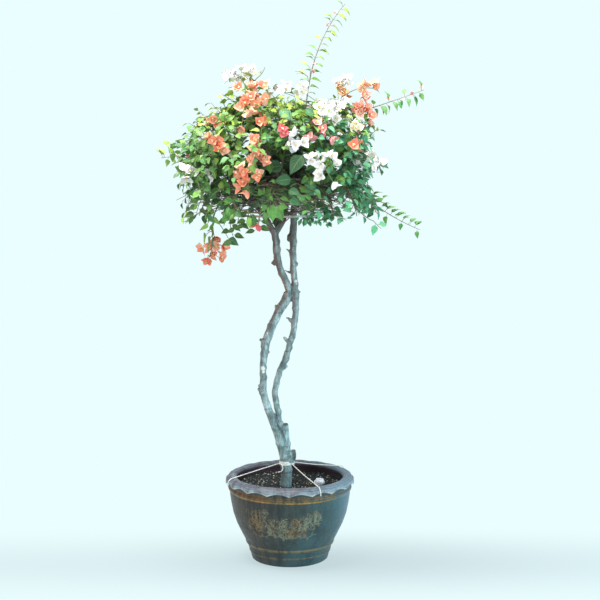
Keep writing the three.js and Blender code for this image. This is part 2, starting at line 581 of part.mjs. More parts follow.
// A flower is three cupped lobes on a short neck. These are its corners past the mouth it grows from.
function flowerPlaces(base, axis, side, room = 0) {
  const across = axis.clone().cross(side);
  const { waist, shoulder, tip, throat } = flower;
  const lobe = [[-60, waist], [-33, shoulder], [0, tip], [33, shoulder]];
  const outline = Array.from({ length: flower.lobes }, (_, k) => lobe.map(([turn, [radius, height]]) => {
    const angle = degrees(60 + turn) + (k * 2 * Math.PI) / flower.lobes;
    const place = base.clone().addScaledVector(side, (radius + room) * Math.cos(angle));
    place.addScaledVector(across, (radius + room) * Math.sin(angle));
    return place.addScaledVector(axis, height);
  })).flat();
  return { outline, middle: base.clone().addScaledVector(axis, throat + room) };
}

function growFlower(growth, mouth, axis, side) {
  const { outline, middle } = flowerPlaces(growth.middle(mouth), axis, side);
  const edge = growth.add(outline);
  growth.spread(mouth, edge);
  growth.fan(growth.add([middle])[0], edge);
}

// What a flower must have free, from a little way off its stalk
function flowerGuard(base, axis, side, off) {
  const growth = new Growth();
  const { outline, middle } = flowerPlaces(base, axis, side, blade.room);
  const edge = growth.add(outline);
  const [back, front] = growth.add([base.clone().addScaledVector(axis, off), middle]);
  growth.fan(back, [...edge].reverse());
  growth.fan(front, edge);
  return growth.solid();
}

// Everything that a new blade or twig must stay clear of, with the box round it
const placed = [];
const boxed = (name, solid) => ({ name, solid, box: solid.boundingBox() });
const apart = (a, b) => [0, 1, 2].some((k) => a.min[k] > b.max[k] || b.min[k] > a.max[k]);
const meets = (guard, other) => !apart(guard.box, other.box) && guard.solid.intersect(other.solid).volume() > 1e-3;

// Places a guard if it is free. Towards its own spray only the part of it that lies off the twig counts.
function takesRoom(name, whole, off) {
  const [wholeGuard, offGuard] = [boxed(name, whole), boxed(name, off)];
  if (placed.some((other) => meets(other.name === name ? offGuard : wholeGuard, other))) return false;
  placed.push(wholeGuard);
  return true;
}

// Draws how a blade stands at a mouth, until one is clear of everything else. facing is 1 to the left, -1 to the right
// and 0 at the end of a twig.
function chooseBlade(name, corners, base, ring, facing, size) {
  for (let k = 0; k < blade.tries; k += 1) {
    const along = ring.across.clone().multiplyScalar(facing * (0.75 + 0.5 * draw()));
    along.addScaledVector(ring.tangent, facing === 0 ? 1 : 0.2 + 0.7 * draw());
    along.addScaledVector(ring.side, 0.65 * draw() - 0.05).add(point([0, 0, -0.3 * draw()])).normalize();
    const normal = ring.side.clone().addScaledVector(ring.across, 0.9 * (draw() - 0.5));
    normal.add(point([0.5 * (draw() - 0.5), 0.5 * (draw() - 0.5), 0.4 * draw()]));
    normal.addScaledVector(along, -normal.dot(along)).normalize();
    const shape = { along, normal, length: size * (0.82 + 0.3 * draw()) };
    const [whole, outer] = [0, blade.roomFrom].map((off) => bladeGuard(corners, base, shape, off));
    if (takesRoom(name, whole, outer)) return shape;
  }
  return null;
}

// Draws the path of a side twig, until one is clear of everything else
function chooseSideTwig(name, from, ring, facing) {
  for (let k = 0; k < blade.tries; k += 1) {
    const length = twig.sideLength * (1 - 0.3 * draw());
    const aside = ring.across.clone().multiplyScalar(facing * length);
    const bend = from.clone().addScaledVector(aside, 0.5).addScaledVector(ring.side, (0.35 - 0.25 * draw()) * length);
    const to = from.clone().addScaledVector(aside, 0.85).addScaledVector(ring.tangent, (0.75 - 0.7 * draw()) * length);
    to.addScaledVector(ring.side, (0.25 - 0.3 * draw()) * length);
    const curve = bentLine(from, bend, to);
    const off = bentLine(curve.getPoint(0.06), bend, to);
    const [whole, outer] = [curve, off].map((line) => tube(line, () => twig.sideRoot + 2 * blade.room, 5, 6));
    if (takesRoom(name, whole, outer)) return curve;
  }
  return null;
}

const mainLine = (spray) => (
  bentLine(limbCurves[spray.limb].getPoint(spray.at), point(spray.bend), point(spray.tip))
);

// Places along a spray's main twig where blades and side twigs stand
const nodePlaces = (spray) => Array.from({ length: spray.nodes }, (_, i) => 0.34 + (0.61 * i) / (spray.nodes - 1));

// The main twig of a spray by itself
function mainTwigSolid(spray) {
  const growth = new Growth();
  const nodes = nodePlaces(spray).map((t) => ({ t, arms: [] }));
  growTwig(growth, { curve: mainLine(spray), radiusAt: taper(twig.root, twig.tip), sides: 3, nodes, end: null });
  return growth.solid();
}

// A spray: its main twig, with side twigs and blades at its nodes
function spraySolid(name, spray) {
  const growth = new Growth();
  const bladeArm = (facing) => ({
    facing: { left: facing, out: 0.3 },
    grow(mouth, ring) {
      const base = growth.middle(mouth);
      const shape = chooseBlade(name, mouth.map((k) => growth.places[k]), base, ring, facing, spray.size);
      if (shape) growBlade(growth, mouth, base, shape);
      else growth.close(mouth);
    },
  });
  const sideArm = (facing) => ({
    facing: { left: facing, out: 0.3 },
    grow(mouth, ring) {
      const curve = chooseSideTwig(name, growth.middle(mouth), ring, facing);
      if (curve === null) {
        bladeArm(facing).grow(mouth, ring);
        return;
      }
      growTwig(growth, {
        curve,
        radiusAt: taper(twig.sideRoot, twig.sideTip),
        sides: 4,
        first: mouth,
        rootSide: ring.side,
        nodes: [{ t: 0.55, arms: [bladeArm(1), bladeArm(-1)] }],
        end: (last, tip) => bladeArm(0).grow(last, tip),
      });
    },
  });
  const nodes = nodePlaces(spray).map((t, i) => {
    const facing = i % 4 < 2 ? 1 : -1;
    const forked = i % 2 === 1 && i <= 2 * spray.fan;
    const arms = forked ? [sideArm(facing), bladeArm(-facing)] : [bladeArm(i % 2 ? -1 : 1)];
    if (!forked && spray.fan) arms.push(bladeArm(i % 2 ? 1 : -1));
    return { t, arms };
  });
  growTwig(growth, { curve: mainLine(spray), radiusAt: taper(twig.root, twig.tip), sides: 3, nodes, end: null });
  return growth.solid().subtract(trunkRoom);
}

// Where a flowering stalk stands square on its spray's main twig: on its end, or on its outer edge
function stalkFoot(bloom) {
  const spray = sprays[bloom.spray];
  const main = mainLine(spray);
  const stops = twigStops(main, nodePlaces(spray), true);
  const frames = framesAt(main, stops, outward(main.getPoint(1)), true);
  if (bloom.at === 1) return { start: frames.at(-1).centre, rise: frames.at(-1).tangent };
  const next = stops.findIndex((t) => t > bloom.at);
  const share = (bloom.at - stops[next - 1]) / (stops[next] - stops[next - 1]);
  const [before, after] = frames.slice(next - 1, next + 1);
  const along = after.centre.clone().sub(before.centre).normalize();
  const rise = before.side.clone().lerp(after.side, share);
  rise.addScaledVector(along, -rise.dot(along)).normalize();
  const radius = taper(twig.root, twig.tip)(bloom.at);
  return { start: before.centre.clone().lerp(after.centre, share).addScaledVector(rise, radius), rise };
}

// A flowering stalk: whorls of flowers round it and one flower at its end
function bloomSolid(name, bloom) {
  const growth = new Growth();
  const { start, rise } = stalkFoot(bloom);
  start.addScaledVector(rise, seatGap);
  const [bend, tip] = [point(bloom.bend), point(bloom.tip)];
  const risen = start.clone().addScaledVector(rise, 0.3 * start.distanceTo(bend));
  const curve = new THREE.CubicBezierCurve3(start, risen, bend, tip);
  placed.push(boxed(name, tube(curve, () => twig.stalkRoot + blade.room, 5, 8)));
  const flowerAt = (mouth, axis) => {
    const base = growth.middle(mouth);
    const side = growth.places[mouth[0]].clone().sub(base);
    side.addScaledVector(axis, -side.dot(axis)).normalize();
    const [whole, outer] = [0, blade.roomFrom].map((from) => flowerGuard(base, axis, side, from));
    if (takesRoom(name, whole, outer)) growFlower(growth, mouth, axis, side);
    else growth.close(mouth);
  };
  const flowerArm = (turn) => ({
    facing: { left: Math.sin(turn), out: Math.cos(turn) },
    grow(mouth, ring) {
      const axis = growth.middle(mouth).sub(ring.centre);
      axis.addScaledVector(ring.tangent, -axis.dot(ring.tangent)).normalize().addScaledVector(ring.tangent, 0.2);
      flowerAt(mouth, axis.normalize());
    },
  });
  const nodes = bloom.whorls.map((count, i) => {
    const arms = Array.from({ length: count }, (_, k) => flowerArm(Math.PI * (0.25 + 0.5 * k - (k > 1))));
    return { t: bloom.whorls.length === 1 ? 0.55 : 0.3 + 0.37 * i, arms };
  });
  growTwig(growth, {
    curve,
    radiusAt: taper(twig.stalkRoot, twig.stalkTip),
    sides: 4,
    nodes,
    end: (last, ring) => flowerAt(last, ring.tangent),
  });
  return growth.solid();
}

// Assembly
const plant = new THREE.Group();

function addPart(name, solid, finish) {
  const [color, roughness, metalness] = finishes[finish];
  const mesh = new THREE.Mesh(geometryOf(solid), new THREE.MeshStandardMaterial({ color, roughness, metalness }));
  mesh.name = name;
  plant.add(mesh);
}

const trunk = trunkSolid(0);
const trunkRoom = trunkSolid(seatGap);
const trainingFrame = frameSolid();
addPart('pot', potSolid(true), 'glaze');
addPart('soil', soilSolid(trunkRoom), 'soil');
addPart('white_stone', stoneSolid(), 'stone');
addPart('trunk', trunk, 'bark');
addPart('training_frame', trainingFrame, 'rod');
addPart('frame_tie_left', tieSolid([-105, -3.6], 14), 'string');
addPart('frame_tie_right', tieSolid([15, 0], 13.5), 'string');
addPart('guy_string', stringSolid().subtract(trunkRoom), 'string');
placed.push(boxed('trunk', trunk), boxed('training_frame', trainingFrame));

const snake = (name) => name.replace(/[A-Z]/g, (letter) => `_${letter.toLowerCase()}`);
for (const [name, spray] of Object.entries(sprays)) {
  placed.push(boxed(name, mainTwigSolid(spray)));
}
for (const [name, bloom] of Object.entries(blooms)) {
  addPart(`bloom_${snake(name)}`, bloomSolid(name, bloom), bloom.colour);
}
for (const [name, spray] of Object.entries(sprays)) {
  addPart(`spray_${snake(name)}`, spraySolid(name, spray), 'leaf');
}

export default plant;
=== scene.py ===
import math
import random

import bmesh
import bpy
import numpy as np
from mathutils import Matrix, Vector, noise
from mathutils.kdtree import KDTree


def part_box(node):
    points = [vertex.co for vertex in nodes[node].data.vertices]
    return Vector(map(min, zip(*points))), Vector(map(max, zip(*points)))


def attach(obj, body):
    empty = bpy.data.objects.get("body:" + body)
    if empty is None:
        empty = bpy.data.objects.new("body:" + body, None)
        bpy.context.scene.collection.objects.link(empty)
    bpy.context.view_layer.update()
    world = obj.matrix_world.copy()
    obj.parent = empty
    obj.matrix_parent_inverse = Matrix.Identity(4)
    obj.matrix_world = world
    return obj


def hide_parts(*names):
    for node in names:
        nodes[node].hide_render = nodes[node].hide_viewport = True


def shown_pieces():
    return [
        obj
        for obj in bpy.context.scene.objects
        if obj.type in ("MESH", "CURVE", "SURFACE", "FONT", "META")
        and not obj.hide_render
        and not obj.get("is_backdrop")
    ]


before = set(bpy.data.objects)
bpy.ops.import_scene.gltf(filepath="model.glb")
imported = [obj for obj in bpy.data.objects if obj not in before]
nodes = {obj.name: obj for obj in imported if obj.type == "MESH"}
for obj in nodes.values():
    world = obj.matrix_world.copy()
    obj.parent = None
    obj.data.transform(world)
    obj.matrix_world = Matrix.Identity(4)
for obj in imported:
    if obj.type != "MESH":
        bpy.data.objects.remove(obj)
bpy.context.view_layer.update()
mm = 0.001
print("frame loaded,", len(nodes), "nodes")


# Small tools for vectors and curves, in metres

def metres(place):
    return np.array(place, float) * mm


def vec(*values):
    return np.array(values, float)


def unit(vector):
    return vector / max(np.linalg.norm(vector), 1e-12)


def clamp(value):
    return min(1.0, max(0.0, value))


def turned(radius, angle):
    return radius * math.cos(angle), radius * math.sin(angle)


def jitter(draw, size):
    return vec(draw.gauss(0, size), draw.gauss(0, size), draw.gauss(0, size))


def bentLine(start, bend, end, steps):
    t = np.linspace(0, 1, steps + 1)[:, None]
    return (1 - t) ** 2 * start + 2 * t * (1 - t) * bend + t ** 2 * end


def smoothLine(places, perSpan):
    # A curve that bends evenly and passes through all the places
    places = [np.array(p, float) for p in places]
    padded = [2 * places[0] - places[1], *places, 2 * places[-1] - places[-2]]
    line = []
    for a, b, c, d in zip(padded, padded[1:], padded[2:], padded[3:]):
        for t in np.arange(perSpan) / perSpan:
            line.append(0.5 * (2 * b + (c - a) * t + (2 * a - 5 * b + 4 * c - d) * t ** 2
                               + (3 * b - a - 3 * c + d) * t ** 3))
    line.append(places[-1])
    return np.array(line)


def evenLine(line, spacing):
    # The same line with its points a fixed distance apart
    run = np.concatenate([[0], np.cumsum(np.linalg.norm(np.diff(line, axis=0), axis=1))])
    at = np.linspace(0, run[-1], max(2, round(run[-1] / spacing) + 1))
    return np.stack([np.interp(at, run, line[:, k]) for k in range(3)], axis=1)


def lineFrames(line):
    # Side and across at each point, turned as little as possible on the way
    tangents = np.gradient(line, axis=0)
    tangents /= np.maximum(np.linalg.norm(tangents, axis=1)[:, None], 1e-12)
    side = np.cross(tangents[0], [0.31, 0.83, 0.46])  # an arrow that no line here follows
    sides = []
    for tangent in tangents:
        side = unit(side - tangent * (side @ tangent))
        sides.append(side)
    sides = np.array(sides)
    return sides, np.cross(tangents, sides)


def searchTree(places):
    found = KDTree(len(places))
    for k, place in enumerate(places):
        found.insert(place, k)
    found.balance()
    return found


# A shape gathers closed parts before it becomes one mesh

def newShape():
    return {"points": [], "faces": [], "finish": [], "tint": [], "place": [], "count": 0}


def addPart(shape, points, faces, finish=0, tint=(1, 1, 1), place=None):
    count = len(points)
    start = shape["count"]
    shape["points"].append(np.asarray(points, float))
    shape["faces"].extend([tuple(start + k for k in face) for face in faces])
    shape["finish"].extend([finish] * len(faces))
    shape["tint"].append(np.broadcast_to(np.asarray(tint, float), (count, 3)))
    shape["place"].append(np.zeros((count, 3)) if place is None else place)
    shape["count"] += count


def ringFaces(rings, sides):
    # Walls from ring to ring, and a cap at each end
    last = (rings - 1) * sides
    walls = [(r + k, r + (k + 1) % sides, r + sides + (k + 1) % sides, r + sides + k)
             for r in range(0, last, sides) for k in range(sides)]
    return walls + [tuple(range(sides - 1, -1, -1)), tuple(range(last, last + sides))]


def addTube(shape, line, radii, sides, finish=0, tint=(1, 1, 1)):
    # One radius for all, one for each point of the line, or a table with one for each corner
    line = np.asarray(line, float)
    side, across = lineFrames(line)
    angles = 2 * math.pi * np.arange(sides) / sides
    radii = np.asarray(radii, float)
    if radii.ndim < 2:
        radii = np.broadcast_to(radii, (len(line),))[:, None]
    ring = np.cos(angles)[None, :, None] * side[:, None, :] + np.sin(angles)[None, :, None] * across[:, None, :]
    points = (line[:, None, :] + radii[:, :, None] * ring).reshape(-1, 3)
    along = np.repeat(np.linspace(0, 1, len(line)), sides)
    place = np.stack([along, np.zeros_like(along), np.zeros_like(along)], axis=1)
    addPart(shape, points, ringFaces(len(line), sides), finish, tint, place)


def addStem(shape, line, thick, thin, tint, sides=5, finish=1):
    # A twig that gets thinner towards its tip; its radii are in mm
    addTube(shape, line, np.linspace(thick, thin, len(line)) * mm, sides, finish, tint)
    return line


def addBranch(shape, start, bend, end, steps, *look):
    return addStem(shape, bentLine(start, bend, end, steps), *look)


def ball(rounds):
    made = bmesh.new()
    bmesh.ops.create_icosphere(made, subdivisions=rounds, radius=1)
    points = np.array([v.co[:] for v in made.verts])
    faces = [tuple(v.index for v in face.verts) for face in made.faces]
    made.free()
    return points, faces


def newMesh(name, points, faces):
    mesh = bpy.data.meshes.new(name)
    mesh.from_pydata(points, [], faces)
    return mesh


def inScene(name, data):
    thing = bpy.data.objects.new(name, data)
    bpy.context.scene.collection.objects.link(thing)
    return thing


def evaluated(thing):
    # The mesh with the modifiers' work in it
    return bpy.data.meshes.new_from_object(thing.evaluated_get(bpy.context.evaluated_depsgraph_get()))


def paint(mesh, masks):
    for label, values in masks.items():
        mesh.attributes.new(label, "FLOAT", "POINT").data.foreach_set("value", values)
    mesh.polygons.foreach_set("use_smooth", [True] * len(mesh.polygons))


def setPiece(piece, replaced):
    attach(piece, "root")
    if replaced:
        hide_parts(*replaced)
    return piece


def finishPiece(name, shape, materials, replaced=(), sharp=50, masks=None):
    mesh = newMesh(name, np.concatenate(shape["points"]).tolist(), shape["faces"])
    for material in materials:
        mesh.materials.append(material)
    mesh.polygons.foreach_set("material_index", shape["finish"])
    tint = np.concatenate(shape["tint"])
    colour = mesh.attributes.new("tint", "FLOAT_COLOR", "POINT")
    colour.data.foreach_set("color", np.concatenate([tint, np.ones((len(tint), 1))], axis=1).ravel())
    place = mesh.attributes.new("leafPlace", "FLOAT_VECTOR", "POINT")
    place.data.foreach_set("vector", np.concatenate(shape["place"]).ravel())
    paint(mesh, masks or {})
    mesh.set_sharp_from_angle(angle=math.radians(sharp))
    mesh.update()
    return setPiece(inScene(name, mesh), replaced)


# Shader tools: they add to the node tree that was opened last

def openTree(owner):
    global tree
    owner.use_nodes = True
    tree = owner.node_tree
    tree.nodes.clear()


def feed(socket, source):
    if isinstance(source, bpy.types.NodeSocket):
        tree.links.new(source, socket)
    else:
        socket.default_value = (*source, 1) if socket.type == "RGBA" else source


def addNode(kind, fed=None, **settings):
    node = tree.nodes.new("ShaderNode" + kind)
    for label, value in settings.items():
        setattr(node, label, value)
    for label, source in (fed or {}).items():
        feed(node.inputs[label], source)
    return node.outputs


def calculate(operation, first, second=0.5):
    return addNode("Math", {0: first, 1: second}, operation=operation)[0]


def times(first, second):
    return calculate("MULTIPLY", first, second)


def plus(first, second):
    return calculate("ADD", first, second)


def fromTo(value, low, high, toLow=0.0, toHigh=1.0):
    return addNode("MapRange", {"Value": value, "From Min": low, "From Max": high, "To Min": toLow, "To Max": toHigh},
                   interpolation_type="SMOOTHSTEP")["Result"]


def mixed(factor, first, second, way="MIX"):
    return addNode("Mix", {"Factor": factor, 6: first, 7: second}, data_type="RGBA", blend_type=way)[2]


def coats(base, *layers):
    # Colours laid over a base, each through its mask
    for mask, colour in layers:
        base = mixed(mask, base, colour)
    return base


def painted(name, output="Fac"):
    return addNode("Attribute", attribute_name=name)[output]


def objectPlace():
    return addNode("TexCoord")["Object"]


# Camera, sky, lights and floor

view = {"place": (0.040, -5.430, 1.707), "down": 7.1, "lens": 84.0, "sensor": 36.0}
lamps = {  # place, what it aims at, size, power, colour
    "softTop": [(-0.7, -0.5, 4.6), (0, 0, 1.4), 2.0, 290, (1.0, 0.985, 0.95)],
    "softFront": [(-2.2, -4.6, 2.8), (0, 0, 1.1), 2.4, 95, (1.0, 0.98, 0.95)],
    "coolRight": [(3.6, -1.8, 1.6), (0, 0, 0.6), 1.8, 95, (0.72, 0.90, 1.0)],
}
# painted shade: the floor darkens to the near colour in a band across it, darkest just in front of the pot, and mostly
# glows with its colour in place of being lit
backdrop = {"far": (0.823, 0.991, 1.0), "near": (0.600, 0.727, 0.752), "middle": (0.0, -0.12, 0.0),
            "squash": (0.14, 1.0, 1.0), "fadeFrom": 0.0, "fadeTo": 0.56, "ownLight": 0.82,
            "skyColour": (0.88, 0.97, 1.0), "skyPower": 0.55,
            "rings": [0.4, 0.8, 1.4, 2.2, 4, 8, 14.0], "columns": 48, "level": -0.0005}


def addCamera():
    data = bpy.data.cameras.new("photoView")
    data.lens = view["lens"]
    data.sensor_width = view["sensor"]
    camera = inScene("photoView", data)
    camera.location = view["place"]
    camera.rotation_euler = (math.radians(90 - view["down"]), 0, 0)
    bpy.context.scene.camera = camera


def addLight(name, place, aim, size, power, colour):
    data = bpy.data.lights.new(name, "AREA")
    data.shape = "DISK"
    data.size = size
    data.energy = power
    data.color = colour
    light = inScene(name, data)
    light.location = place
    light.rotation_euler = (Vector(aim) - Vector(place)).to_track_quat("-Z", "Y").to_euler()


def addSky():
    world = bpy.data.worlds.new("paleSky")
    bpy.context.scene.world = world
    openTree(world)
    seen = addNode("Background", {"Color": backdrop["far"]})[0]
    lit = addNode("Background", {"Color": backdrop["skyColour"], "Strength": backdrop["skyPower"]})[0]
    both = addNode("MixShader", {"Fac": addNode("LightPath")["Is Camera Ray"], 1: lit, 2: seen})[0]
    addNode("OutputWorld", {"Surface": both})


def addFloor():
    columns = backdrop["columns"]
    points = [(0, 0, backdrop["level"])]
    for radius in backdrop["rings"]:
        points += [(*turned(radius, 2 * math.pi * k / columns), backdrop["level"]) for k in range(columns)]
    faces = [(0, 1 + k, 1 + (k + 1) % columns) for k in range(columns)]
    faces += [(r + k, r + columns + k, r + columns + (k + 1) % columns, r + (k + 1) % columns)
              for r in range(1, len(points) - columns, columns) for k in range(columns)]
    mesh = newMesh("floor", points, faces)
    material = bpy.data.materials.new("paleFloor")
    mesh.materials.append(material)
    openTree(material)
    # painted shade: darker near colour close to the middle, fading to the far colour; the floor glows with this colour
    squashed = addNode("VectorMath", {0: objectPlace(), 1: backdrop["squash"]}, operation="MULTIPLY")[0]
    distance = addNode("VectorMath", {0: squashed, 1: backdrop["middle"]}, operation="DISTANCE")["Value"]
    fade = fromTo(distance, backdrop["fadeFrom"], backdrop["fadeTo"])
    colour = mixed(fade, backdrop["near"], backdrop["far"])
    matt = addNode("BsdfDiffuse", {"Color": colour})[0]
    glow = addNode("Emission", {"Color": colour})[0]
    share = addNode("MapRange", {"Value": fade, "To Min": backdrop["ownLight"]})["Result"]
    addNode("OutputMaterial", {"Surface": addNode("MixShader", {"Fac": share, 1: matt, 2: glow})[0]})
    inScene("floor", mesh)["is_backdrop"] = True


addCamera()
addSky()
for name, lamp in lamps.items():
    addLight(name, *lamp)
addFloor()
bpy.context.scene.view_settings.view_transform = "Standard"
print("camera, light and floor ready")


# Effects that several materials share, as node groups

def newGroup(name, values, given):
    global tree
    tree = bpy.data.node_groups.new(name, "ShaderNodeTree")
    for label, value in values.items():
        kind = "NodeSocketVector" if value is None else "NodeSocketFloat"
        socket = tree.interface.new_socket(label, in_out="INPUT", socket_type=kind)
        if value is not None:
            socket.default_value = value
    for label in given:
        tree.interface.new_socket(label, in_out="OUTPUT", socket_type="NodeSocketFloat")
    return tree, tree.nodes.new("NodeGroupInput").outputs, tree.nodes.new("NodeGroupOutput").inputs


# Cloudy variation, stretched upwards where a surface has streaks
mottle, wanted, given = newGroup("mottle", {"Place": None, "Scale": 20.0, "Stretch": 1.0, "Low": 0.35, "High": 0.65},
                                 ["Mask", "Height"])
stretch = addNode("CombineXYZ", {0: 1.0, 1: 1.0, 2: calculate("DIVIDE", 1.0, wanted["Stretch"])})[0]
stretched = addNode("VectorMath", {0: wanted["Place"], 1: stretch}, operation="MULTIPLY")[0]
cloud = addNode("TexNoise", {"Vector": stretched, "Scale": wanted["Scale"], "Detail": 5.0, "Roughness": 0.62})["Fac"]
feed(given["Mask"], fromTo(cloud, wanted["Low"], wanted["High"]))
feed(given["Height"], cloud)

# Round specks or pits
speckle, wanted, given = newGroup("speckle", {"Place": None, "Scale": 200.0, "Size": 0.3, "Share": 0.5}, ["Mask"])
cells = addNode("TexVoronoi", {"Vector": wanted["Place"], "Scale": wanted["Scale"]})
dots = fromTo(cells["Distance"], wanted["Size"], 0.0)
kept = calculate("LESS_THAN", addNode("SeparateColor", {0: cells["Color"]})[0], wanted["Share"])
feed(given["Mask"], times(dots, kept))

# Ribs of a leaf or bract: Place holds how far along, how far across and a draw
veins, wanted, given = newGroup("veins", {"Place": None, "Count": 6.0, "Slant": 0.45, "Width": 0.12}, ["Rib", "Height"])
along, across, _ = addNode("SeparateXYZ", {0: wanted["Place"]})
off = calculate("ABSOLUTE", across)
slanted = calculate("SUBTRACT", along, times(off, wanted["Slant"]))
waves = calculate("SINE", times(slanted, times(wanted["Count"], 6.2832)))
feed(given["Rib"], calculate("MAXIMUM", fromTo(off, wanted["Width"], 0.0), times(fromTo(waves, 0.82, 1.0), 0.6)))
feed(given["Height"], times(waves, 0.35))


def mottled(scale, low=0.35, high=0.65, stretch=1.0):
    return addNode("Group", {"Place": objectPlace(), "Scale": scale, "Stretch": stretch, "Low": low, "High": high},
                   node_tree=mottle)


def specks(scale, size, share):
    return addNode("Group", {"Place": objectPlace(), "Scale": scale, "Size": size, "Share": share},
                   node_tree=speckle)["Mask"]


def ribbed(count, slant, width):
    return addNode("Group", {"Place": painted("leafPlace", "Vector"), "Count": count, "Slant": slant, "Width": width},
                   node_tree=veins)


def newMaterial(name):
    material = bpy.data.materials.new(name)
    openTree(material)
    return material


def dress(material, look, base, height, relief):
    # Base colour, a roughness that follows a height, and a bump of some strength and depth
    strength, depth = look["bump"]
    bump = addNode("Bump", {"Strength": strength, "Distance": depth, "Height": relief})["Normal"]
    shader = addNode("BsdfPrincipled", {"Base Color": base, "Roughness": fromTo(height, 0.3, 0.7, *look["rough"]),
                                        "Normal": bump, **look.get("plain", {})})
    addNode("OutputMaterial", {"Surface": shader["BSDF"]})
    return material


leafLook = {"patch": (0.05, 0.13, 0.03), "rib": (0.42, 0.62, 0.22), "rough": (0.36, 0.54), "bump": (0.5, 0.0006),
            "plain": {"Specular IOR Level": 0.34}}


def leafMaterial():
    material = newMaterial("leafGreen")
    rib, wave = ribbed(6.0, 0.42, 0.1)
    patches, height = mottled(75.0, 0.3, 0.7)
    base = mixed(times(patches, 0.3), painted("tint", "Color"), leafLook["patch"])
    base = mixed(times(rib, 0.32), base, leafLook["rib"])
    return dress(material, leafLook, base, height, calculate("SUBTRACT", wave, rib))


bractLook = {"crease": (0.95, 0.86, 0.84), "rough": (0.5, 0.7), "bump": (0.45, 0.0006)}


def bractMaterial():
    material = newMaterial("paperyBract")
    rib, _ = ribbed(5.0, 0.7, 0.07)
    creases, height = mottled(190.0, 0.3, 0.7)
    tint = painted("tint", "Color")
    base = mixed(times(rib, 0.3), mixed(times(creases, 0.22), tint, bractLook["crease"]), tint, "MULTIPLY")
    return dress(material, bractLook, base, height, calculate("SUBTRACT", height, rib))


twigLook = {"streak": (0.09, 0.06, 0.04), "rough": (0.55, 0.8), "bump": (0.4, 0.0008)}


def twigMaterial():
    material = newMaterial("greenTwig")
    streaks, height = mottled(160.0, stretch=2.0)
    base = mixed(times(streaks, 0.5), painted("tint", "Color"), twigLook["streak"])
    return dress(material, twigLook, base, height, height)


barkLook = {
    "grey": ((0.170, 0.265, 0.275), (0.50, 0.70, 0.73)), "lowGrey": (0.36, 0.66, 0.72),
    "brown": ((0.150, 0.085, 0.068), (0.44, 0.31, 0.265)), "band": (0.105, 0.165, 0.170), "crack": (0.06, 0.055, 0.05),
    "foot": (0.050, 0.085, 0.085), "crossing": (0.05, 0.065, 0.065), "shadeUnderCrown": (0.055, 0.048, 0.042),
    "pore": (0.5, 0.5, 0.46), "scarAndShade": (0.055, 0.052, 0.050), "cut": (0.085, 0.095, 0.090), "pale": (0.80, 0.82, 0.77),
    "moss": (0.20, 0.46, 0.30), "rough": (0.65, 0.9), "bump": (0.7, 0.0016),
}


def barkMaterial():
    # Heights along the stems are in metres
    material = newMaterial("greyBark")
    x, _, z = addNode("SeparateXYZ", {0: objectPlace()})
    broad, _ = mottled(22.0, 0.38, 0.62, 2.5)
    fine, height = mottled(120.0, 0.35, 0.6, 4.0)
    bands, _ = mottled(24.0, 0.52, 0.62, 0.8)
    pores = specks(110.0, 0.32, 0.35)
    upper = fromTo(z, 0.95, 1.40, 0.0, 0.42)
    # painted shade, partly bark colour: the left-facing flank of the stems turns brown-pink and darker
    flank = times(fromTo(painted("flank"), 0.25, 0.75, 0.0, 0.95), fromTo(z, 0.80, 1.12, 0.38, 1.0))
    crossing = times(times(fromTo(z, 0.90, 0.97), fromTo(z, 1.13, 1.05)), fromTo(x, -0.008, 0.006, 0.0, 0.42))
    base = coats(
        mixed(broad, *barkLook["grey"]),
        (fromTo(z, 0.66, 0.48, 0.0, 0.38), barkLook["lowGrey"]),
        (calculate("MAXIMUM", upper, flank), mixed(broad, *barkLook["brown"])),
        (times(bands, 0.5), barkLook["band"]),
        (times(fine, 0.48), barkLook["crack"]),
        (fromTo(z, 0.385, 0.365, 0.0, 0.5), barkLook["foot"]),
        (crossing, barkLook["crossing"]),  # shade where the stems cross
        # painted shade: the stems darken towards the top, under the crown
        (fromTo(z, 1.17, 1.33, 0.0, 0.55), barkLook["shadeUnderCrown"]),
        (times(pores, 0.4), barkLook["pore"]),
        # partly scar colour, partly painted shade: the dark ring under each swelling and the darkened grooves
        (times(painted("ring"), 0.55), barkLook["scarAndShade"]),
        (painted("cut"), barkLook["cut"]),
        (painted("pale"), barkLook["pale"]),
        (times(painted("moss"), fromTo(height, 0.35, 0.6, 0.15, 0.8)), barkLook["moss"]))
    return dress(material, barkLook, base, height, plus(height, times(pores, 0.4)))


glazeLook = {
    "slate": ((0.010, 0.020, 0.022), (0.030, 0.050, 0.050)), "blue": ((0.014, 0.045, 0.055), (0.034, 0.105, 0.122)),
    "bronze": ((0.026, 0.018, 0.013), (0.080, 0.050, 0.034)), "run": (0.055, 0.105, 0.100),
    "grime": (0.018, 0.020, 0.020),
    "ochre": ((0.250, 0.150, 0.040), (0.085, 0.062, 0.028)), "redOchre": (0.255, 0.092, 0.024),
    "gleam": ((0.300, 0.250, 0.130), (0.44, 0.245, 0.045)),
    "gilt": ((0.245, 0.290, 0.205), (0.165, 0.105, 0.052)), "warmGilt": (0.250, 0.155, 0.058),
    "ground": ((0.020, 0.016, 0.013), (0.110, 0.075, 0.040)),
    "mauve": ((0.090, 0.088, 0.112), (0.175, 0.205, 0.245)), "blueLip": (0.190, 0.310, 0.385),
    "turning": (0.055, 0.048, 0.062), "inside": (0.060, 0.040, 0.050), "edge": (0.52, 0.66, 0.70),
    "sheen": (0.115, 0.265, 0.350), "pit": (0.12, 0.16, 0.15),
    "rough": (0.32, 0.56), "bump": (0.35, 0.0012), "plain": {"Specular IOR Level": 0.42},
}


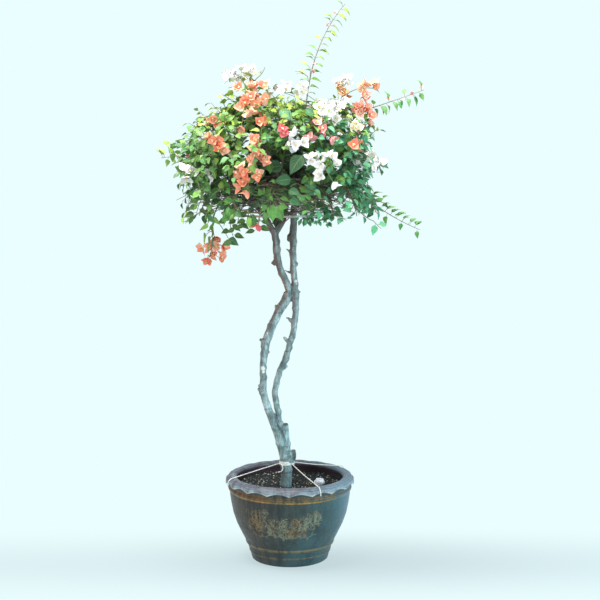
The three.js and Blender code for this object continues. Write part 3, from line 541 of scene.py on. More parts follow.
def glazeMaterial():
    material = newMaterial("darkGlaze")
    x, y, z = addNode("SeparateXYZ", {0: objectPlace()})
    broad, broadHeight = mottled(11.0, 0.36, 0.64, 1.6)
    runs, runHeight = mottled(55.0, 0.35, 0.68, 5.0)
    fine, fineHeight = mottled(170.0)
    pits = specks(160.0, 0.3, 0.3)
    # slate at the left, blue at the right and low down, bronze at the far left; the blue is partly the glaze's colour
    # and partly painted reflection
    lower = times(calculate("SUBTRACT", 0.20, z), 0.75)
    blueShare = fromTo(plus(x, plus(times(broadHeight, 0.2), lower)), 0.10, 0.24)
    bronzeShare = times(fromTo(plus(x, times(broadHeight, -0.30)), -0.08, -0.38), 0.85)
    base = coats(
        mixed(broad, *glazeLook["slate"]),
        (blueShare, mixed(broad, *glazeLook["blue"])),
        (times(runs, 0.45), glazeLook["run"]),
        (bronzeShare, mixed(runs, *glazeLook["bronze"])),
        (times(fine, 0.35), glazeLook["grime"]))
    # ochre bands with a thin bright line in each, and the gilt ornament on its dark ground
    ochre = mixed(times(bronzeShare, 0.7), mixed(fine, *glazeLook["ochre"]), glazeLook["redOchre"])
    gleam = times(painted("gleam"), fromTo(times(broadHeight, runHeight), 0.14, 0.32, 0.08, 0.95))
    gleam = times(gleam, fromTo(calculate("ABSOLUTE", plus(x, 0.03)), 0.10, 0.22, 1.0, 0.35))
    gilt = mixed(fromTo(broadHeight, 0.54, 0.62), mixed(bronzeShare, *glazeLook["gilt"]), glazeLook["warmGilt"])
    base = coats(
        base,
        (times(painted("ochre"), fromTo(runHeight, 0.36, 0.62, 0.12, 0.95)), ochre),
        (gleam, mixed(fromTo(z, 0.10, 0.20), *glazeLook["gleam"])),
        (times(painted("ground"), fromTo(broadHeight, 0.40, 0.62, 0.35, 0.8)), mixed(runs, *glazeLook["ground"])),
        (times(painted("relief"), fromTo(times(fineHeight, runHeight), 0.17, 0.32, 0.15, 0.95)), gilt))
    # mauve lip with turned rings, and its pale edge, which is partly worn glaze and partly painted highlight
    radius = calculate("SQRT", plus(times(x, x), times(y, y)))
    rings = calculate("SINE", plus(times(radius, 900.0), times(broadHeight, 9.0)))
    mauve = coats(
        mixed(runs, *glazeLook["mauve"]),
        # painted reflection: the lip turns blue towards the right
        (fromTo(x, 0.02, 0.24, 0.0, 0.85), glazeLook["blueLip"]),
        (fromTo(rings, 0.35, 0.95, 0.0, 0.65), glazeLook["turning"]))
    base = coats(
        base,
        (painted("lip"), mauve),
        (painted("inside"), glazeLook["inside"]),
        # pale edge: partly worn glaze, partly painted highlight
        (times(painted("edge"), fromTo(runHeight, 0.32, 0.60, 0.3, 1.0)), glazeLook["edge"]),
        (times(fromTo(x, 0.150, 0.235, 0.0, 0.55), fromTo(z, 0.31, 0.28)), glazeLook["sheen"]),
        (times(pits, 0.35), glazeLook["pit"]))
    return dress(material, glazeLook, base, fineHeight, calculate("SUBTRACT", plus(fineHeight, runHeight), pits))


soilLook = {"clod": ((0.004, 0.006, 0.007), (0.018, 0.021, 0.022)), "grain": (0.13, 0.16, 0.14),
            "rough": (0.85, 1.0), "bump": (0.9, 0.003)}
gritLook = {"stain": (0.11, 0.085, 0.06), "rough": (0.75, 0.95), "bump": (0.6, 0.0012)}
stoneLook = {"stone": ((0.86, 0.88, 0.91), (0.60, 0.60, 0.70)), "speck": (0.36, 0.33, 0.3),
             "rough": (0.6, 0.9), "bump": (0.6, 0.0015)}


def soilMaterial():
    material = newMaterial("pottingMix")
    clods, height = mottled(60.0)
    grains = specks(240.0, 0.45, 0.22)
    base = mixed(times(grains, 0.55), mixed(clods, *soilLook["clod"]), soilLook["grain"])
    return dress(material, soilLook, base, height, plus(height, times(grains, 0.5)))


def gritMaterial():
    material = newMaterial("paleGrit")
    cloudy, height = mottled(260.0)
    base = mixed(times(cloudy, 0.5), painted("tint", "Color"), gritLook["stain"])
    return dress(material, gritLook, base, height, height)


def stoneMaterial():
    material = newMaterial("whiteStone")
    cloudy, height = mottled(90.0)
    base = mixed(times(specks(420.0, 0.4, 0.3), 0.4), mixed(cloudy, *stoneLook["stone"]), stoneLook["speck"])
    return dress(material, stoneLook, base, height, height)


rodLook = {"warm": ((0.58, 0.44, 0.38), (0.36, 0.25, 0.20)), "cool": ((0.52, 0.60, 0.58), (0.30, 0.32, 0.30)),
           "stain": (0.08, 0.06, 0.05), "rough": (0.5, 0.8), "bump": (0.5, 0.0008), "plain": {"Metallic": 0.2}}
twineLook = {"cloud": ((0.86, 0.86, 0.82), (0.58, 0.60, 0.54)), "fluff": (0.4, 0.38, 0.33),
             "rough": (0.75, 0.95), "bump": (0.5, 0.0005)}


def rodMaterial():
    material = newMaterial("weatheredRod")
    x, _, _ = addNode("SeparateXYZ", {0: objectPlace()})
    broad, _ = mottled(35.0, 0.4, 0.6)
    fine, height = mottled(220.0)
    base = mixed(fromTo(x, -0.06, 0.04), mixed(broad, *rodLook["warm"]), mixed(broad, *rodLook["cool"]))
    return dress(material, rodLook, mixed(times(fine, 0.3), base, rodLook["stain"]), height, height)


def twineMaterial():
    material = newMaterial("whiteTwine")
    cloudy, _ = mottled(90.0, 0.4, 0.65)
    fluff, height = mottled(900.0)
    base = mixed(times(fluff, 0.2), mixed(times(cloudy, 0.6), *twineLook["cloud"]), twineLook["fluff"])
    return dress(material, twineLook, base, height, height)


leafFinish, bractFinish, twigFinish = leafMaterial(), bractMaterial(), twigMaterial()
barkFinish, glazeFinish, soilFinish = barkMaterial(), glazeMaterial(), soilMaterial()
gritFinish, stoneFinish, rodFinish, twineFinish = gritMaterial(), stoneMaterial(), rodMaterial(), twineMaterial()
print("materials ready")


# Glazed pot, as [radius, height] in mm; angles run from the front, positive to the right

pot = {
    "side": [[148, 0], [151, 2.5], [153.5, 12], [157.5, 26], [161.5, 40], [166, 52], [171.5, 66], [180, 84],
             [192, 107], [211, 146], [225, 187], [233, 228], [238, 262], [240, 286], [240, 303]],
    "rows": [[5, 26, 3.5], [26, 42, 1.8], [42, 56, 4], [56, 78, 1.8], [78, 118, 4], [118, 252, 1.7], [252, 272, 4],
             [272, 303.5, 1.8]],  # heights of the rings: from, to and step
    "ridges": [[286, 9, 5.0], [67, 8, 3.2], [34, 5, 2.2]],  # height, half width, how proud
    "bands": [[290, 17, 0.8], [67, 8, 0.75], [34, 6, 0.4]],  # height, half width, how strong the ochre
    "gleams": [[278.5, 4.2, 0.95], [70, 4.4, 0.42], [35, 3.0, 0.2]],  # the same, of the thin bright lines
    "scallops": 18,
    "lip": [  # radius and height at a notch, then at a point of the wave, how mauve, how pale (the pale edge: partly wear, partly painted highlight)
        [244.5, 303.5, 242.5, 310.5, 0.3, 0], [250.5, 303.5, 246, 314, 0.8, 0.35], [254.5, 304.5, 250.5, 316, 1, 1],
        [256.5, 307.5, 253.5, 318.5, 1, 0.75], [256, 312, 254, 321.5, 1, 0.22], [252.5, 317.5, 251.5, 326.5, 1, 0.08],
        [247.5, 324.5, 245, 330, 1, 0], [241.5, 330.5, 240.5, 333.5, 1, 0], [235, 333.2, 235, 336.2, 1, 0]],
    "inner": [  # radius, height, how far it counts as inside
        [228, 335.4, 0], [221, 334.4, 0], [215, 332.2, 0], [211.3, 329.5, 0.15], [209.8, 326.5, 0.4], [210, 322, 0.8],
        [212, 315, 1], [216, 307, 1], [220, 300, 1], [221, 285, 1], [218, 240, 1], [206, 190, 1], [192, 146, 1],
        [160, 70, 1], [138, 21, 1], [132, 20, 1]],
    "frontHalf": 54, "frontStep": 0.54, "backStep": 2.5,
    "ornament": {"low": 118, "high": 252, "side": 0.93, "radius": 228, "soft": 0.8},
    "forms": [[-128, 196, 44, 48], [2, 172, 60, 44], [92, 200, 36, 40], [-66, 172, 32, 36], [56, 182, 28, 36]],
    "tufts": [130, 200, 110, 80, 50],  # the forms are middle, half width and half height
    "drains": [[70, 0], [70, 120], [70, 240]], "drainRadius": 8,
    "wobble": 0.5,
}
scroll = {
    "flower": (-132, 196), "petals": [[8, 5, 6], [19, 7, 9], [31, 9, 11]],  # radius of the row, petals, their size
    "leaves": [[-172, 168, 200], [-165, 226, 140], [-98, 232, 50], [-92, 160, -35], [-150, 150, 250]],
    "cloud": (2, 178), "arches": [42, 33, 24, 15, 7], "billows": [-36, -17, 2, 21, 40],
    "curls": [[-50, 172, 12, 20, 1], [50, 170, 12, 160, -1], [-34, 146, 11, 60, -1], [-8, 138, 10, 90, 1],
              [20, 140, 10, 100, -1], [40, 150, 11, 120, 1]],  # middle, radius, first angle, way round
    "spray": (90, 200), "blades": 23, "buds": [[84, 206], [98, 212], [93, 194], [78, 192], [105, 198]],
}


def scrollStrokes():
    # The raised ornament on the front: a flower, a cloud and a spray of leaves, joined by a waved stem.
    # Places are [along the pot, height] in mm; each stroke has a half width and a height.
    draw = random.Random(41)
    strokes = []

    def stroke(places, half=1.9, high=1.7):
        strokes.append((np.array(places, float), half, high))

    def arc(cx, cz, radius, start, end, squash=1.0, half=1.9):
        angles = np.radians(np.linspace(start, end, max(5, int(abs(end - start) / 9))))
        stroke(np.stack([cx + radius * np.cos(angles), cz + squash * radius * np.sin(angles)], axis=1), half)

    def curl(cx, cz, radius, start, way):
        t = np.linspace(0, 1, 30)
        angles = math.radians(start) + way * t * 3 * math.pi
        shrunk = radius * (1 - 0.8 * t)
        stroke(np.stack([cx + shrunk * np.cos(angles), cz + shrunk * np.sin(angles)], axis=1))

    def leafStroke(x, z, angle, length):
        t = np.linspace(0, 1, 8)
        ahead, aside = turned(1, math.radians(angle))
        for bow in (-0.22, 0.22):
            off = bow * length * np.sin(math.pi * t)
            stroke(np.stack([x + t * length * ahead - off * aside, z + t * length * aside + off * ahead], axis=1),
                   1.4, 1.3)

    # flower with three rows of petals on the left
    x0, z0 = scroll["flower"]
    for radius, petals, size in scroll["petals"]:
        for k in range(petals):
            turn = 360 * k / petals + radius
            x, z = turned(radius, math.radians(turn))
            arc(x0 + x, z0 + z * 0.95, size, turn - 105, turn + 105)
    stroke([[x0, z0], [x0 + 0.5, z0 + 0.5]], 4.5, 2.4)
    for x, z, turn in scroll["leaves"]:
        for spread in (-35, 0, 35):
            leafStroke(x, z, turn + spread, 19)
    # cloud of nested arches in the middle, with curls below
    x0, z0 = scroll["cloud"]
    for radius in scroll["arches"]:
        arc(x0, z0, radius, 4, 176, 0.95, 1.4)
    for x in scroll["billows"]:
        for radius in (11, 5):
            arc(x, z0 - 15 - 6 * (abs(x - x0) < 22), radius, 10, 170, 1.0, 1.3)
    for row in scroll["curls"]:
        curl(*row)
    # spray of narrow leaves with round buds on the right
    for k in range(scroll["blades"]):
        tip = vec(*turned(1, math.radians(-40 + 260 * k / (scroll["blades"] - 1))))
        reach = 26 + 18 * draw.random()
        t = np.linspace(0.2, 1, 6)[:, None]
        stroke(vec(*scroll["spray"]) + t * reach * tip + vec(0, 1) * t ** 2 * 5, 1.1, 1.5)
    for x, z in scroll["buds"]:
        stroke([[x, z], [x + 0.5, z]], 3.6, 2.4)
    # waved stem under all three, with small leaves
    x = np.linspace(-150, 116, 60)
    stem = np.stack([x, 139 + 6 * np.sin(x / 15)], axis=1)
    stroke(stem, 1.2, 1.3)
    for k in range(3, 58, 4):
        up = 1 if (k // 4) % 2 else -1
        leafStroke(*stem[k], 90 * up + 35 * (draw.random() - 0.5) * 2, 13)
    # short loose strokes, like tufts, inside the three forms
    for (x, z, wide, high), count in zip(pot["forms"], pot["tufts"]):
        for _ in range(count):
            turn, far = draw.uniform(0, 2 * math.pi), draw.uniform(0.15, 1.0)
            a, b = x + wide * far * math.cos(turn), z + high * far * math.sin(turn)
            lean, size = turn + draw.uniform(-0.7, 0.7), draw.uniform(4, 10)
            stroke([[a, b], [a + size * 0.5 * math.cos(lean), b + size * 0.5 * math.sin(lean) + 1],
                    [a + size * math.cos(lean + 0.5), b + size * math.sin(lean + 0.5)]],
                   draw.uniform(0.7, 1.3), draw.uniform(0.9, 1.6))
    return strokes


def groundAt(along, height):
    # The dark ground of the ornament
    return max(clamp(2.2 * (1.25 - math.hypot((along - x) / wide, (height - z) / high)))
               for x, z, wide, high in pot["forms"])


def makePot():
    front, step = pot["frontHalf"], pot["backStep"]
    angles = np.radians(np.concatenate([np.arange(-front, front + 0.01, pot["frontStep"]),
                                        np.arange(front + step, 360 - front - 0.5, step)]))
    heights = np.unique(np.concatenate([[0, 1, 2.5], *(np.arange(*row) for row in pot["rows"])]))
    side = np.array(pot["side"], float)
    radii = np.interp(heights, side[:, 1], side[:, 0])
    for _ in range(2):  # rounds the corners of the table
        radii[3:-3] = (radii[2:-4] + 2 * radii[3:-3] + radii[4:-2]) / 4
    radii = radii + sum(proud * np.clip(1 - ((heights - z) / wide) ** 2, 0, 1) for z, wide, proud in pot["ridges"])

    samples = []
    for places, half, high in scrollStrokes():
        for (x0, z0), (x1, z1) in zip(places, places[1:]):
            steps = max(2, int(math.hypot(x1 - x0, z1 - z0)))
            samples += [(x, z, half, high) for x, z in zip(np.linspace(x0, x1, steps), np.linspace(z0, z1, steps))]
    drawn = searchTree([(x, z, 0) for x, z, _, _ in samples])

    # rings of [radius, height, relief, ochre, lip, inside, edge, ground, gleam] for every column
    ornament = pot["ornament"]
    rings = []
    for radius, height in zip(radii, heights):
        ochre, gleam = (max(level * clamp(2 * (1 - abs(height - z) / wide)) for z, wide, level in pot[table])
                        for table in ("bands", "gleams"))
        ring = []
        for angle in angles:
            along, swell, high = angle * ornament["radius"], 0.0, 0.0
            if ornament["low"] < height < ornament["high"] and abs(angle) < ornament["side"]:
                _, k, distance = drawn.find((along, height, 0))
                _, _, half, high = samples[k]
                swell = max(0.0, 1 - (distance / (half + ornament["soft"])) ** 2)
            bend = noise.noise((math.sin(angle) * 2.2, math.cos(angle) * 2.2, height / 90)) * pot["wobble"]
            ring.append((radius + high * swell + bend, height, swell, ochre, 0, 0, 0, groundAt(along, height), gleam))
        rings.append(ring)

    wave = np.abs(np.sin(angles * pot["scallops"] / 2))
    share = np.sqrt(wave ** 2 + 0.005) / math.sqrt(1.005)
    uneven = np.array([noise.noise((math.sin(angle) * 5, math.cos(angle) * 5, 3.3)) for angle in angles])
    lips = [(*row[:5], 0, row[5]) for row in pot["lip"]]
    # a faint pale edge on the top of the inner rim: painted highlight
    lips += [(radius, height, radius, height, 1, inside, 0.12 if height > 334 else 0)
             for radius, height, inside in pot["inner"]]
    for lowRadius, low, highRadius, high, *masks in lips:
        ring = np.zeros((len(angles), 9))
        ring[:, 0] = lowRadius + (highRadius - lowRadius) * share + 0.5 * uneven
        ring[:, 1] = low + (high - low) * share + 1.6 * uneven
        ring[:, 4:7] = masks
        rings.append(ring)

    rows = np.array(rings)
    points = np.stack([rows[:, :, 0] * np.sin(angles), -rows[:, :, 0] * np.cos(angles), rows[:, :, 1]], axis=2)
    shape = newShape()
    addPart(shape, points.reshape(-1, 3) * mm, ringFaces(len(rings), len(angles)))
    labels = ("relief", "ochre", "lip", "inside", "edge", "ground", "gleam")
    drillDrains(finishPiece("glazed_pot", shape, [glazeFinish], ["pot"],
                            masks={label: rows[:, :, k].ravel() for k, label in enumerate(labels, 2)}))


def drillDrains(piece):
    shape = newShape()
    for radius, turn in pot["drains"]:
        x, y = turned(radius * mm, math.radians(turn))
        addTube(shape, [[x, y, -0.01], [x, y, 0.04]], pot["drainRadius"] * mm, 24)
    drains = inScene("drains", newMesh("drains", np.concatenate(shape["points"]).tolist(), shape["faces"]))
    cutter = piece.modifiers.new("drains", "BOOLEAN")
    cutter.operation = "DIFFERENCE"
    cutter.solver = "MANIFOLD"
    cutter.object = drains
    made = evaluated(piece)
    print("drained pot has", len(made.vertices), "points, was", len(piece.data.vertices))
    piece.modifiers.clear()
    if len(made.vertices) > len(piece.data.vertices) / 2:
        piece.data = made
    bpy.data.objects.remove(drains)


makePot()
print("pot ready")


# Soil with grit, and the pale stone

soil = {"top": 295, "middle": 299, "radius": 219, "rings": 54, "columns": 170, "crumb": 2.6,
        "wall": [[138, 20.5], [192, 146], [219.5, 250], [220.5, 285], [220.3, 292]]}
grit = {"count": 860, "small": 1.2, "large": 3.9, "radius": 216, "pale": 0.5,
        "bare": [[-15, -42, 26], [123, -52, 20]],  # round the stems and under the stone
        "tints": [(0.46, 0.40, 0.28), (0.52, 0.60, 0.52), (0.22, 0.36, 0.31), (0.70, 0.76, 0.70), (0.36, 0.25, 0.16),
                  (0.18, 0.27, 0.26)],
        "dark": [(0.05, 0.035, 0.028), (0.09, 0.06, 0.045), (0.03, 0.025, 0.022)]}
stone = {"shift": [-7, 3, 12], "grow": [1.28, 1.3, 2.1], "round": 0.86, "facets": 0.35, "sharp": 0.6,
         "look": (3.1, 0.4, 7.7)}


def soilHeight(x, y):
    radius = math.hypot(x, y)
    rise = max(0.0, 1 - radius / 170) * (soil["middle"] - soil["top"])
    place = Vector((x * 0.09, y * 0.09, 0.4))
    crumbs = noise.noise(place) * 0.7 + noise.noise(place * 2.7) * 0.5 + noise.noise(place * 7) * 0.25
    return soil["top"] + rise + crumbs * soil["crumb"] * clamp((220 - radius) / 12) - 1.2


def makeSoil():
    angles = 2 * math.pi * np.arange(soil["columns"]) / soil["columns"]
    points = [(*turned(radius, a), height) for radius, height in soil["wall"] for a in angles]
    for ring in range(soil["rings"]):
        radius = soil["radius"] * (1 - ring / soil["rings"]) + 0.6
        points += [(x, y, soilHeight(x, y)) for x, y in (turned(radius, a) for a in angles)]
    shape = newShape()
    addPart(shape, np.array(points) * mm, ringFaces(len(soil["wall"]) + soil["rings"], soil["columns"]))
    finishPiece("potting_soil", shape, [soilFinish], ["soil"], sharp=180)


def makeGrit():
    draw = random.Random(7)
    fine, coarse = ball(2), ball(1)
    shape = newShape()
    for _ in range(grit["count"]):
        angle, radius = draw.uniform(0, 2 * math.pi), grit["radius"] * math.sqrt(draw.random())
        x, y = turned(radius, angle)
        if any(math.hypot(x - a, y - b) < reach for a, b, reach in grit["bare"]):
            continue
        size = grit["small"] + (grit["large"] - grit["small"]) * draw.random() ** 2.2
        stretch = vec(draw.uniform(0.8, 1.3), draw.uniform(0.7, 1.1), draw.uniform(0.55, 0.9)) * size
        points, faces = fine if size > 2.0 else coarse
        look = Vector((draw.uniform(0, 100), 0, 0))
        dents = np.array([1 + 0.28 * noise.noise(Vector(p) * 1.4 + look) for p in points])
        cos, sin = turned(1, draw.uniform(0, math.pi))
        x0, y0, z0 = (points * dents[:, None] * stretch).T
        body = np.stack([x0 * cos - y0 * sin, x0 * sin + y0 * cos, z0], axis=1)
        tints = grit["tints"] if draw.random() < grit["pale"] else grit["dark"]
        tint = vec(*draw.choice(tints)) * draw.uniform(0.75, 1.2)
        addPart(shape, (body + [x, y, soilHeight(x, y) + stretch[2] * 0.35]) * mm, faces, tint=tint)
    finishPiece("soil_grit", shape, [gritFinish], sharp=35)


def makeStone():
    low, high = (np.array(corner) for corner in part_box("white_stone"))
    middle, half = (low + high) / 2 + metres(stone["shift"]), (high - low) / 2 * stone["grow"]
    points, faces = ball(5)
    body = []
    for p in points:
        place = Vector(p)
        facets = noise.voronoi(place * 1.15 + Vector(stone["look"]))[0]
        creases = noise.noise(place * 3.1) * 0.12 + noise.noise(place * 8) * 0.04
        body.append(p * (stone["round"] + stone["facets"] * (facets[1] - facets[0]) * stone["sharp"] + creases))
    body = np.array(body)
    body /= np.abs(body).max(axis=0)
    body = body * half + middle
    body[:, 2] = np.maximum(body[:, 2], low[2] - 0.001)
    shape = newShape()
    addPart(shape, body, faces)
    finishPiece("pale_stone", shape, [stoneFinish], ["white_stone"], sharp=40)


makeSoil()
makeGrit()
makeStone()
print("soil ready")


# Trunk: the solid of the frame, made finer, rounded and given bark

trunk = {
    "voxel": 3.0, "quick": 1.6, "rounds": 4, "grow": 0.4, "ridge": 1.0, "swell": 4.6, "spacing": [30, 66],
    "sway": 2.6, "straight": [560, 80, 1330, 60],  # no sway below and above, and how soon it comes
    "stubs": [  # line of a cut stub, and its radius at the foot and the end
        [[[-12, -34, 432], [-14, -44, 480], [-17, -50, 549]], 15, 10.5],
        [[[-4, -50, 400], [10, -61, 410], [14, -64, 428], [12, -62, 448]], 14, 9],
        [[[-78, -20, 910], [-52, -20, 966], [-36, -20, 1004], [-14, -22, 1032], [-6, -22, 1062]], 15.5, 17],
        [[[-97, -20, 842], [-91, -20, 870], [-79, -20, 908], [-62, -20, 948]], 16.5, 16.5],
        [[[14, -2, 1276], [0, -6, 1282], [-5, -8, 1285]], 14, 10],
        [[[-57, -18, 1182], [-61, -20, 1186], [-63, -21, 1188]], 9, 6],
        [[[-52, -19, 1004], [-55, -20, 1010], [-57, -21, 1014]], 7, 3.5],
        [[[-94, -18, 874], [-100, -22, 879], [-103, -25, 881]], 10, 7],
        [[[-108, -18, 676], [-119, -20, 682], [-122, -21, 685]], 11, 6.5],
        [[[24, 0, 1168], [28, -2, 1176], [29, -2, 1178]], 8, 5],
        [[[24, 0, 1060], [33, -2, 1066], [36, -2, 1068]], 12, 7],
        [[[16, 0, 944], [2, -4, 950], [-8, -6, 962]], 7.5, 4],
        [[[-4, 0, 864], [-14, -4, 873], [-25, -6, 885]], 7, 3.8],
        [[[-26, 0, 762], [-15, 0, 768], [-12, 0, 772]], 9, 5],
        [[[-90, -20, 832], [-84, -22, 826], [-82, -22, 824]], 9, 6],
        [[[8, -11, 1026], [8, -12, 1060], [7, -12, 1094]], 7, 6],  # where the stems touch
    ],
    # marks on the bark: where, and how far they reach
    "cut": [[[-17, -52, 549], 12], [[20, -74, 416], 12], [[20, -74, 431], 12], [[17, -71, 445], 9],
            [[-27, -8, 887], 5], [[-12, -8, 964], 6], [[-20, -6, 1148], 4.5], [[-14, -6, 1232], 4.5],
            [[44, -4, 1064], 6], [[-7, -12, 1286], 7], [[-52, -66, 499], 6], [[-104, -34, 882], 6],
            [[-122, -22, 685], 5], [[2, -10, 1258], 5], [[-46, -30, 1052], 5], [[-28, -30, 560], 4]],
    "pale": [[[-106, -34, 765], 10], [[-104, -34, 752], 7], [[26, -14, 1106], 8], [[27, -14, 1096], 6],
             [[22, -14, 1215], 5], [[-47, -66, 488], 8], [[18, -14, 1172], 4], [[-88, -36, 905], 5]],
    "moss": [[[-56, -14, 608], 9], [[-50, -14, 600], 5]],
    "groove": [[[-60, -27, 582], 5], [[-56, -27, 568], 5], [[-52, -28, 558], 5], [[-48, -31, 547], 5],
               [[-44, -34, 537], 5.5], [[-39, -39, 527], 6], [[-34, -45, 519], 6], [[-30, -47, 511], 6],
               [[-27, -50, 503], 6], [[-24, -52, 496], 5.5], [[-22, -54, 489], 5], [[-19, -57, 481], 4.5],
               [[8, -20, 1090], 5], [[8, -21, 1074], 6], [[8, -21, 1058], 6], [[8, -20, 1042], 6],
               [[8, -18, 1028], 5]],
    "cutDepth": 1.4, "grooveDepth": 2.5,
}
leftStem = [[-15, -42, 262], [-15, -42, 300], [-13, -42, 336], [-15, -40, 384], [-21, -34, 437], [-52, -24, 520],
            [-90, -20, 610], [-104, -20, 675], [-107, -20, 761], [-97, -20, 840], [-80, -20, 905], [-52, -20, 970],
            [-38, -20, 1003], [-12, -22, 1035], [-4, -22, 1068], [-12, -20, 1100], [-40, -20, 1165], [-52, -20, 1229],
            [-57, -20, 1290]]
rightStem = [[-16, -36, 425], [-15, -26, 462], [-23, -12, 505], [-42, 0, 550], [-52, 0, 606], [-59, 0, 660],
             [-52, 0, 715], [-26, 0, 780], [-5, 0, 834], [16, 0, 920], [23, 0, 990], [23, 0, 1033], [19, 0, 1098],
             [14, 0, 1163], [13, 0, 1228], [13, 0, 1293], [16, 0, 1330], [15, 0, 1378]]


def stemSwellings(points):
    # Old leaf scars: uneven swellings round each stem with a dark ring under them, partly the scars' colour and partly
    # painted shade under each swelling, and how far a point faces left, which paints the left flank browner and darker,
    # partly bark colour and partly painted shade
    draw = random.Random(5)
    x, y, z = points.T
    lift, ring = np.zeros(len(points)), np.zeros(len(points))
    stems = [np.array(stem, float) for stem in (leftStem, rightStem)]
    gaps, turns, sides = [], [], []
    for stem in stems:
        dx, dy = (near - np.interp(z, stem[:, 2], stem[:, k]) for k, near in ((0, x), (1, y)))
        beyond = np.maximum(0, stem[0, 2] - z) + np.maximum(0, z - stem[-1, 2])
        gaps.append(np.linalg.norm([dx, dy], axis=0) + beyond)
        turns.append(np.arctan2(dy, dx))
        sides.append(dx)
    nearer = np.argmin(gaps, axis=0)
    for k, stem in enumerate(stems):
        height = stem[0, 2] + 40
        while height < stem[-1, 2]:
            turn, width = draw.uniform(0, 2 * math.pi), draw.uniform(6, 14)
            here = (nearer == k) & (np.abs(z - height) < 60) & (gaps[k] < 30)
            facing = np.cos(turns[k] - turn)
            gap = z - height - 3 * facing
            lean = 0.30 + 0.70 * facing
            lift += here * trunk["swell"] * draw.uniform(0.4, 1.2) * lean * np.exp(-(gap / width) ** 2)
            part = np.clip(0.45 + 0.9 * np.cos(turns[k] - turn + 2.0), 0, 1)  # a scar doesn't go all the way round
            ring = np.maximum(ring, here * part * np.exp(-((gap + width * 0.9) / 3.2) ** 2) * draw.uniform(0.5, 1.0))
            height += draw.uniform(*trunk["spacing"])
    side = np.where(nearer == 0, *sides)
    return lift, ring, np.clip((7 - side) / 19, 0, 1)


def barkLift(x, y, z):
    # Fine ridges along the stem and rings across it
    place = Vector((x * 0.11, y * 0.11, z * 0.03))
    ridges = 1 - abs(noise.noise(place)) * 2.2
    rings = noise.noise((x * 0.02, y * 0.02, z * 0.16))
    return trunk["grow"] + trunk["ridge"] * (0.45 * ridges + 0.4 * noise.noise(place * 3.1) + 0.45 * rings)


def makeTrunk():
    piece = inScene("bark_trunk", nodes["trunk"].data.copy())
    made = bmesh.new()
    made.from_mesh(piece.data)
    bmesh.ops.remove_doubles(made, verts=made.verts, dist=1e-6)
    shape = newShape()
    for line, foot, end in trunk["stubs"]:
        line = evenLine(smoothLine(metres(line), 6), 0.004)
        addTube(shape, line, np.linspace(foot, end, len(line)) * mm, 20)
    added = [made.verts.new(place) for place in np.concatenate(shape["points"])]
    for face in shape["faces"]:
        made.faces.new([added[k] for k in face])
    made.to_mesh(piece.data)
    made.free()
    refine = piece.modifiers.new("refine", "REMESH")
    refine.mode = "VOXEL"
    refine.voxel_size = trunk["voxel"] * mm * 1
    rounded = piece.modifiers.new("rounded", "SMOOTH")
    rounded.factor = 0.5
    rounded.iterations = trunk["rounds"]
    mesh = evaluated(piece)
    piece.modifiers.clear()
    piece.data = mesh
    points = np.array([v.co[:] for v in mesh.vertices]) / mm
    normals = np.array([v.normal[:] for v in mesh.vertices])
    swelling, ring, flank = stemSwellings(points)
    lift = np.array([barkLift(*point) for point in points]) + swelling

    def marked(label, start, stretch=(1, 1, 1)):
        # 1 at the marks of a table, 0 away from them
        best = np.zeros(len(points))
        for centre, reach in trunk[label]:
            distance = np.linalg.norm((points - centre) * stretch, axis=1)
            best = np.maximum(best, np.clip(start - 2 * distance / reach, 0, 1))
        return best

    masks = {label: marked(label, 2.2) for label in ("cut", "pale", "moss")}
    for centre, reach in trunk["cut"]:
        lift -= trunk["cutDepth"] * np.clip(1.5 - 2 * np.linalg.norm(points - centre, axis=1) / reach, 0, 1)
    for centre, reach in trunk["groove"]:
        distance = np.linalg.norm((points - centre) * [1, 0.5, 0.5], axis=1)
        lift -= trunk["grooveDepth"] * np.clip(2 - 2 * distance / reach, 0, 1)
    # the grooves darken like the rings: painted shade in the hollows
    masks["ring"] = np.maximum(ring, marked("groove", 2, [1, 0.5, 0.5]))
    masks["flank"] = flank
    points += normals * lift[:, None]
    bottom, below, top, above = trunk["straight"]
    free = np.clip((points[:, 2] - bottom) / below, 0, 1), np.clip((top - points[:, 2]) / above, 0, 1)
    for axis, look in ((0, 1.7), (1, 8.3)):  # the stems are never quite straight
        sway = np.array([noise.noise((look, (0 if x > -30 else 4) + z / 46, 0)) + 0.5 * noise.noise((look, z / 21, 5))
                         for x, z in zip(points[:, 0], points[:, 2])])
        points[:, axis] += trunk["sway"] * sway * free[0] * free[1]
    mesh.vertices.foreach_set("co", (points * mm).ravel())
    mesh.materials.clear()
    mesh.materials.append(barkFinish)
    mesh.polygons.foreach_set("material_index", [0] * len(mesh.polygons))
    paint(mesh, masks)
    mesh.update()
    setPiece(piece, ["trunk"])
    print("trunk has", len(mesh.vertices), "points")


makeTrunk()


# Training frame, its ties and the guy string

hoop = {"centre": (-34, 0), "radius": 228, "height": 1371, "rod": 4.0, "backBar": 18.1, "sideBar": -52,
        "steps": 160, "sides": 12, "uneven": 0.05}
ties = {"wire": 1.3, "pieces": {"frame_tie_left": "wire_tie_left", "frame_tie_right": "wire_tie_right"}}
twine = {
    "radius": 2.1, "plies": 3, "lay": 11.0, "spacing": 1.7, "groove": 0.20, "sides": 12,
    "turns": {"centre": (-12, -41), "radius": (28.5, 25.5), "from": 384, "to": 398, "count": 5},
    "knots": [[9, -62, 390], [-37, -56, 390]], "knotSize": 4.6,
    "overLip": [[235, 338.4], [246, 334.5], [253.5, 327], [257.6, 318], [258.5, 306]],
    "strands": {"left": [[-40, -47, 390], [-134, -66, 364], 200], "front": [[9, -60, 389], [58, -135, 362], 297.5],
                "right": [[14, -32, 391], [100, 40, 364], 31]},
    "tail": [[-34, -58, 391], [-32, -68, 388], [-27, -71, 377], [-32, -72, 365], [-45, -70, 359]],
}


